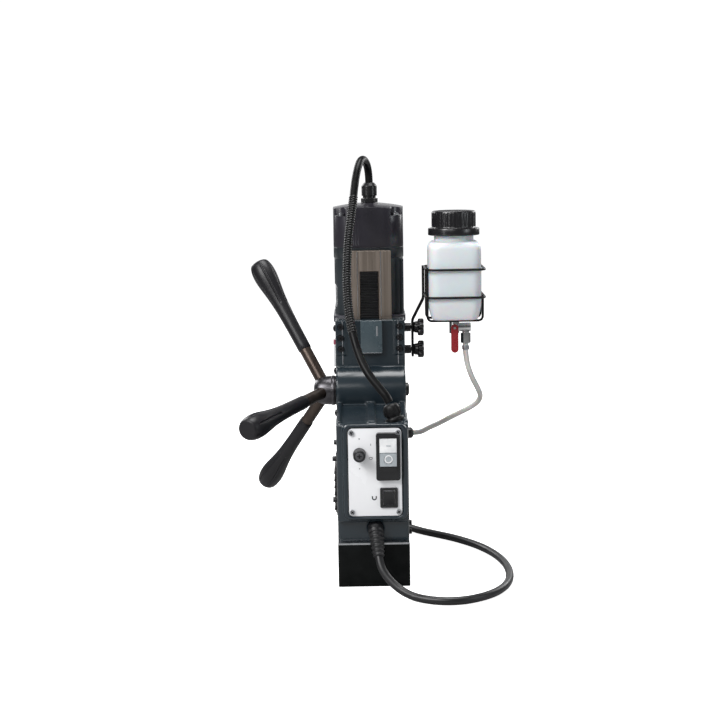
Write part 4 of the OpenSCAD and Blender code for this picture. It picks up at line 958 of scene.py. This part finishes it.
# Dash on the start button
start_low, start_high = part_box("start_button")
dash_y = start_low[1] / MM
dash = prism(rounded(5.2, 1.1, 0.5, 3), 0, 0.3, 0.1)
piece("start_button_mark", Geo().add(dash, shift(17.4, dash_y + 0.05, 161.3) @ turn(90, "X")), M["button_grey"],
      "start", "button_grey", degrees=30)

# Cross slots of the four panel screws
screw_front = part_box("panel_screws")[0][1] / MM
slots = Geo()
for x in (-23.3, 28.3):
    for z in (85.2, 174.8):
        for angle in (35, 125):
            slots.add(prism(rounded(4.4, 1.0, 0.4, 3), 0, 0.35, 0.1),
                      shift(x, screw_front + 0.2, z) @ turn(90, "X") @ turn(angle, "Z"))
piece("panel_screw_slots", slots, M["black_plastic"], "frame", "black_plastic", degrees=30)

# Raised ring on the stop button
stop_low, stop_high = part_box("stop_button")
ring_y = stop_low[1] / MM
ring_geo = lathe([(3.3, 0), (4.5, 0), (4.5, 0.35), (4.3, 0.55), (3.5, 0.55), (3.3, 0.35), (3.3, 0)], 64)
piece("stop_button_ring", Geo().add(ring_geo, shift(17.4, ring_y + 0.25, 146.6) @ turn(90, "X")), M["button_white"],
      "stop", "button_white", degrees=40)

# Sharp lower edge of the foot, where it sits on the magnet
foot_geo = prism(rounded(2 * FOOT_HALF_W - 0.1, FOOT_FRONT_Y - FOOT_REAR_Y - 0.1, 3.9, 6, 0,
                         (FOOT_FRONT_Y + FOOT_REAR_Y) / 2), MAGNET_TOP + 0.05, MAGNET_TOP + 5, 0.2)
piece("foot_edge", foot_geo, M["frame_paint"], "frame", "frame_paint", degrees=35)

# Stop block at the back of the head; pale zinc strips on its face are painted highlights, one along its lower edge and
# one upright near its right side
block_low, block_high = (Vector(c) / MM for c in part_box("stop_block"))
block_wide, block_tall = block_high.x - block_low.x, block_high.z - block_low.z
block_geo = prism(rounded(block_wide, block_tall, 0.8, 4), 0, block_high.y - block_low.y, 0.7, 3)
block_at = shift((block_low.x + block_high.x) / 2, block_high.y, (block_low.z + block_high.z) / 2) @ turn(90, "X")
piece("stop_block_body", Geo().add(block_geo, block_at), M["grey_paint"], "frame", "grey_paint", ("stop_block",),
      degrees=30)
# Painted highlights on the stop block: a strip along its lower edge and an upright strip near its right side
block_highlight_geo = Geo()
block_highlight_geo.add(prism(rounded(block_wide - 2.0, 0.9, 0.4, 3), 0, 0.5, 0.15), block_at @ shift(0, -block_tall / 2 + 0.9,
              block_high.y - block_low.y - 0.35))
block_highlight_geo.add(prism(rounded(2.0, block_tall * 0.3, 0.9, 4), 0, 0.5, 0.15), block_at @ shift(block_wide * 0.26,
              block_tall * 0.18, block_high.y - block_low.y - 0.35))
piece("stop_block_painted_highlights", block_highlight_geo, M["zinc_steel"], "frame", "zinc_steel", degrees=35)

# Lower gland of the motor lead: a collar over the slanted boss, and a domed nut with fins
gland_at = shift(25, -60, 186.2) @ turn(147, "Z") @ turn(20, "Y")
gland = Geo().add(lathe([(5.0, -1.0), (10.2, -4.0), (10.6, -3.4), (10.6, 0.4), (10.1, 1.0), (8.0, 1.2), (8.0, 3.0),
                         (9.0, 3.3), (9.3, 4.0), (9.3, 11.5), (9.0, 13.2), (8.2, 14.8), (7.2, 16.0), (5.9, 16.8),
                         (5.0, 16.8), (5.0, -1.0)], 72), gland_at)
for k in range(14):
    fin = prism(rounded(1.5, 1.2, 0.5, 3, 9.2, 0), 4.2, 12.0, 0.4)
    gland.add(fin, gland_at @ turn(360 / 14 * k, "Z"))
piece("lead_gland_lower_moulding", gland, M["gland_black"], "frame", "black_plastic", ("lead_gland_lower",), degrees=40)

# Depth scale beside the head: a pale strip with graduations
strip = Geo().add(prism(rounded(9.0, 33.0, 0.8, 3, 69.5, 243.0), 0, 2.6, 0.3), shift(-44.1, 0, 0) @ Matrix(
    ((0, 0, 1, 0), (1, 0, 0, 0), (0, 1, 0, 0), (0, 0, 0, 1))))
piece("depth_scale", strip, M["panel_white"], "frame", "panel_white", degrees=40)
ticks = Geo()
for k in range(29):
    z = 229.0 + k
    wide = 4.2 if k % 5 == 0 else 2.4
    ticks.add(Geo([(x, y, zz) for x in (-44.05, -44.16) for y, zz in
                   ((65.6, z - 0.14), (65.6 + wide, z - 0.14), (65.6 + wide, z + 0.14), (65.6, z + 0.14))],
                  [(0, 1, 2, 3), (7, 6, 5, 4), (4, 5, 1, 0), (5, 6, 2, 1), (6, 7, 3, 2), (7, 4, 0, 3)]))
piece("depth_scale_ticks", ticks, M["black_plastic"], "frame", "black_plastic", degrees=30)


rear_mark = Geo().add(prism(rounded(2.3, 6.0, 0.3, 3, -42.8, 256.0), -0.12, 0.0), shift(0, 65.0, 0)
                      @ turn(90, "X") @ shift(0, 0, 0.12))
piece("depth_scale_rear_mark", rear_mark, M["faded_red"], "frame", "red_plastic", degrees=30)
mark = prism(rounded(7.0, 4.0, 0.6, 3, 69.5, 257.0), 0, 0.12)
piece("depth_scale_mark", Geo().add(mark, shift(-44.15, 0, 0) @ Matrix(((0, 0, 1, 0), (1, 0, 0, 0), (0, 1, 0, 0),
      (0, 0, 0, 1)))), M["red_plastic"], "frame", "red_plastic", degrees=30)

# Painted highlights: pale steel strips beside the slide's groove, where its edges catch the light
lines = Geo()
for x in (-14.0, 14.0):
    lines.add(prism(rounded(1.0, 0.5, 0.2, 2, x, 79.05), 284.5, 362.4))
piece("slide_painted_highlights", lines, M["bare_steel"], "carriage", "bare_steel", degrees=35)

# Fuse holder: slim bezel in front of the panel and the barrel behind it
holder_low, holder_high = (Vector(c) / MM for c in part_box("fuse_holder"))
holder_x, holder_z = (holder_low.x + holder_high.x) / 2, (holder_low.z + holder_high.z) / 2
holder_l = holder_high.y - holder_low.y
holder_profile = [(0, 0), (5.0, 0), (5.4, 0.4), (5.4, 3.0), (5.9, 3.2), (5.9, holder_l - 2.6), (6.9, holder_l - 2.6),
                  (7.1, holder_l - 2.2), (7.1, holder_l - 0.6), (6.6, holder_l), (0, holder_l)]
piece("fuse_holder_moulding", Geo().add(lathe(holder_profile, 64), shift(holder_x, holder_high.y, holder_z)
      @ turn(90, "X")), M["black_plastic"], "frame", "black_plastic", ("fuse_holder",), degrees=38)

# Fuse cap with a cross slot in its face
fuse_low, fuse_high = (Vector(c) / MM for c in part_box("fuse_cap"))
fuse_x, fuse_z = (fuse_low.x + fuse_high.x) / 2, (fuse_low.z + fuse_high.z) / 2
fuse_r, fuse_l = (fuse_high.x - fuse_low.x) / 2, -83.7 - fuse_low.y
fuse_at = shift(fuse_x, -83.7, fuse_z) @ turn(90, "X")
fuse_profile = [(0, 0), (fuse_r, 0), (fuse_r, fuse_l - 1.6), (fuse_r - 0.5, fuse_l - 0.5), (fuse_r - 1.4, fuse_l),
                (fuse_r - 1.9, fuse_l), (fuse_r - 2.1, fuse_l - 0.5), (0, fuse_l - 0.5)]
fuse = raw("fuse_cap_moulding", Geo().add(lathe(fuse_profile, 72), fuse_at))
fuse_face = raw("fuse_cap_face", Geo().add(lathe([(0, fuse_l - 0.8), (fuse_r - 2.4, fuse_l - 0.8),
                (fuse_r - 2.4, fuse_l - 0.25), (fuse_r - 2.6, fuse_l - 0.1), (0, fuse_l - 0.1)], 72), fuse_at))
for bar_turn in (0, 90):
    slot_bar = prism(rounded(5.6, 1.5, 0.4, 3), fuse_l - 2.4, fuse_l + 1)
    cut(fuse, Geo().add(slot_bar, fuse_at @ turn(bar_turn, "Z")))
    cut(fuse_face, Geo().add(slot_bar, fuse_at @ turn(bar_turn, "Z")))
finish_piece(fuse_face, M["fuse_grey"], "fuse", "button_grey", degrees=38)
finish_piece(fuse, M["black_plastic"], "fuse", "black_plastic", ("fuse_cap",), degrees=38)


def cap_screw(d, h):
    """Socket screw head along +Z, with its hexagon socket."""
    r, socket = d / 2, d * 0.27
    n = 48
    rows = [(r, 0, 0), (r, h - 0.35, 0), (r - 0.12, h - 0.12, 0), (r - 0.4, h, 0), (socket, h, 1), (socket, h * 0.35, 1)]
    points, faces = [], []
    for rr, z, hexed in rows:
        for k in range(n):
            a = math.tau * k / n
            out = rr
            if hexed:
                out = rr / math.cos((a % (math.tau / 6)) - math.tau / 12)
            points.append((out * math.cos(a), out * math.sin(a), z))
    for row in range(len(rows) - 1):
        for k in range(n):
            a, b = row * n + k, row * n + (k + 1) % n
            faces.append((a, b, b + n, a + n))
    faces.append(tuple(reversed(range(n))))
    faces.append(tuple((len(rows) - 1) * n + k for k in range(n)))
    return Geo(points, faces)


side_screws = Geo()
for y, z, d in ((-52, 64.7, 6.0), (-52, 54.3, 6.0), (40, 64.7, 6.0), (40, 54.3, 6.0), (60, 166, 6.0)):
    side_screws.add(cap_screw(d, 3.4), shift(39.9, y, z) @ turn(90, "Y"))
for y, z in ((-58, 141), (-58, 94), (30, 141), (30, 94)):
    side_screws.add(cap_screw(6.0, 5.2), shift(-39.9, y, z) @ turn(-90, "Y"))
louvres = Geo()
for k in range(6):
    bar = prism(rounded(3.4, 2.6, 1.2, 4), -38, 18, 0.5)
    louvres.add(bar, shift(-42.4, 0, 77.6 + 8.4 * k) @ turn(-90, "X") @ shift(0, 0, 0))
piece("vent_louvres", louvres, M["black_plastic"], "frame", "black_plastic", degrees=40)
piece("side_screws", side_screws, M["black_steel"], "frame", "black_steel", degrees=35)

# Painted highlights: pale zinc strips along the inner edges of the bolt pads, where the light catches them
pad_painted_highlights = Geo()
for x in (-33.0, 33.4):
    pad_painted_highlights.add(prism(rounded(1.1, 1.0, 0.3, 3, x, 60.4), 241.5, 281.4))
    pad_painted_highlights.add(prism(rounded(1.1, 1.0, 0.3, 3, x, 61.9), 229.0, 240.6))
piece("pad_painted_highlights", pad_painted_highlights, M["zinc_steel"], "frame", "zinc_steel", degrees=35)

clamp = lathe([(0, -2.6), (4.0, -2.6), (4.35, -2.2), (4.35, 2.2), (4.0, 2.6), (0, 2.6)], 40)
piece("hose_clamp", Geo().add(clamp, shift(114.6, 70, 246.5)), M["zinc_steel"], "carriage", "zinc_steel", degrees=35)
sleeve = lathe([(0, 0), (6.6, 0), (7.0, 0.4), (7.0, 5.6), (6.2, 7.4), (4.6, 8.2), (4.4, 8.6), (0, 8.6)], 48)
piece("hose_sleeve", Geo().add(sleeve, shift(44.6, 142, 128) @ turn(90, "Y")), M["black_plastic"], "carriage",
      "black_plastic", degrees=40)

# ---------------------------------------------------------------- studio

world = bpy.data.worlds.new("studio")
bpy.context.scene.world = world
world.use_nodes = True
tree = world.node_tree
tree.nodes.clear()
room = tree.nodes.new("ShaderNodeBackground")
room.inputs["Color"].default_value = (0.93, 0.96, 1.0, 1.0)
room.inputs["Strength"].default_value = 0.13
seen = tree.nodes.new("ShaderNodeBackground")
seen.inputs["Color"].default_value = (1.0, 1.0, 1.0, 1.0)
seen.inputs["Strength"].default_value = 1.0
pick = tree.nodes.new("ShaderNodeMixShader")
path_kind = tree.nodes.new("ShaderNodeLightPath")
output = tree.nodes.new("ShaderNodeOutputWorld")
tree.links.new(path_kind.outputs["Is Camera Ray"], pick.inputs[0])
tree.links.new(room.outputs[0], pick.inputs[1])
tree.links.new(seen.outputs[0], pick.inputs[2])
tree.links.new(pick.outputs[0], output.inputs["Surface"])

floor_mat = surface("floor", (0.90, 0.90, 0.90), 0.7, tint=(0.92, 0.92, 0.92), bump=0.0, fine=0.0)
floor_tree = floor_mat.node_tree
glow = floor_tree.nodes.new("ShaderNodeEmission")
glow.inputs["Strength"].default_value = 0.90
both = floor_tree.nodes.new("ShaderNodeAddShader")
floor_pick = floor_tree.nodes.new("ShaderNodeMixShader")
floor_ray = floor_tree.nodes.new("ShaderNodeLightPath")
floor_end = floor_tree.nodes["Material Output"]
floor_tree.links.new(floor_tree.nodes["Principled BSDF"].outputs[0], both.inputs[0])
floor_tree.links.new(glow.outputs[0], both.inputs[1])
floor_tree.links.new(floor_ray.outputs["Is Camera Ray"], floor_pick.inputs[0])
dim = floor_tree.nodes.new("ShaderNodeBsdfDiffuse")
dim.inputs["Color"].default_value = (0.42, 0.42, 0.42, 1.0)
floor_tree.links.new(dim.outputs[0], floor_pick.inputs[1])
floor_tree.links.new(both.outputs[0], floor_pick.inputs[2])
floor_tree.links.new(floor_pick.outputs[0], floor_end.inputs["Surface"])
floor = raw("floor", prism(circle(40000, 128), -60.0, -0.3))
floor.data.materials.append(floor_mat)


def area_light(name, at, aim, size, power, colour=(1, 1, 1), size_y=None):
    lamp = bpy.data.lights.new(name, "AREA")
    lamp.shape = "RECTANGLE"
    lamp.size, lamp.size_y = size, size_y or size
    lamp.energy, lamp.color = power, colour
    obj = bpy.data.objects.new(name, lamp)
    bpy.context.scene.collection.objects.link(obj)
    obj.location = at
    obj.visible_camera = False
    obj.rotation_euler = (Vector(aim) - Vector(at)).to_track_quat("-Z", "Y").to_euler()


area_light("key", (-0.95, -0.95, 1.25), (0, 0, 0.22), 0.7, 21)
area_light("fill", (1.35, -0.75, 0.65), (0, 0, 0.2), 0.5, 3.5, (0.92, 0.97, 1.0))
area_light("top", (0.1, 0.15, 1.7), (0, 0.05, 0.2), 0.8, 17)
area_light("left_strip", (-1.25, -1.15, 0.35), (0, 0, 0.2), 0.1, 2.5, (1, 1, 1), 1.3)
area_light("front", (-0.35, -1.6, 1.15), (0, 0, 0.2), 0.5, 4)
area_light("behind", (0.0, 2.6, 0.75), (0, 0, 0.25), 3.0, 9, (1.0, 1.0, 1.0), 1.1)
area_light("back_left", (-0.9, 1.1, 0.9), (0, 0.1, 0.25), 0.7, 9)
area_light("back_right", (1.0, 1.0, 0.8), (0, 0.1, 0.25), 0.6, 7)

view = bpy.context.scene.view_settings
view.view_transform = "Standard"
view.look = "None"
view.exposure = 0.06
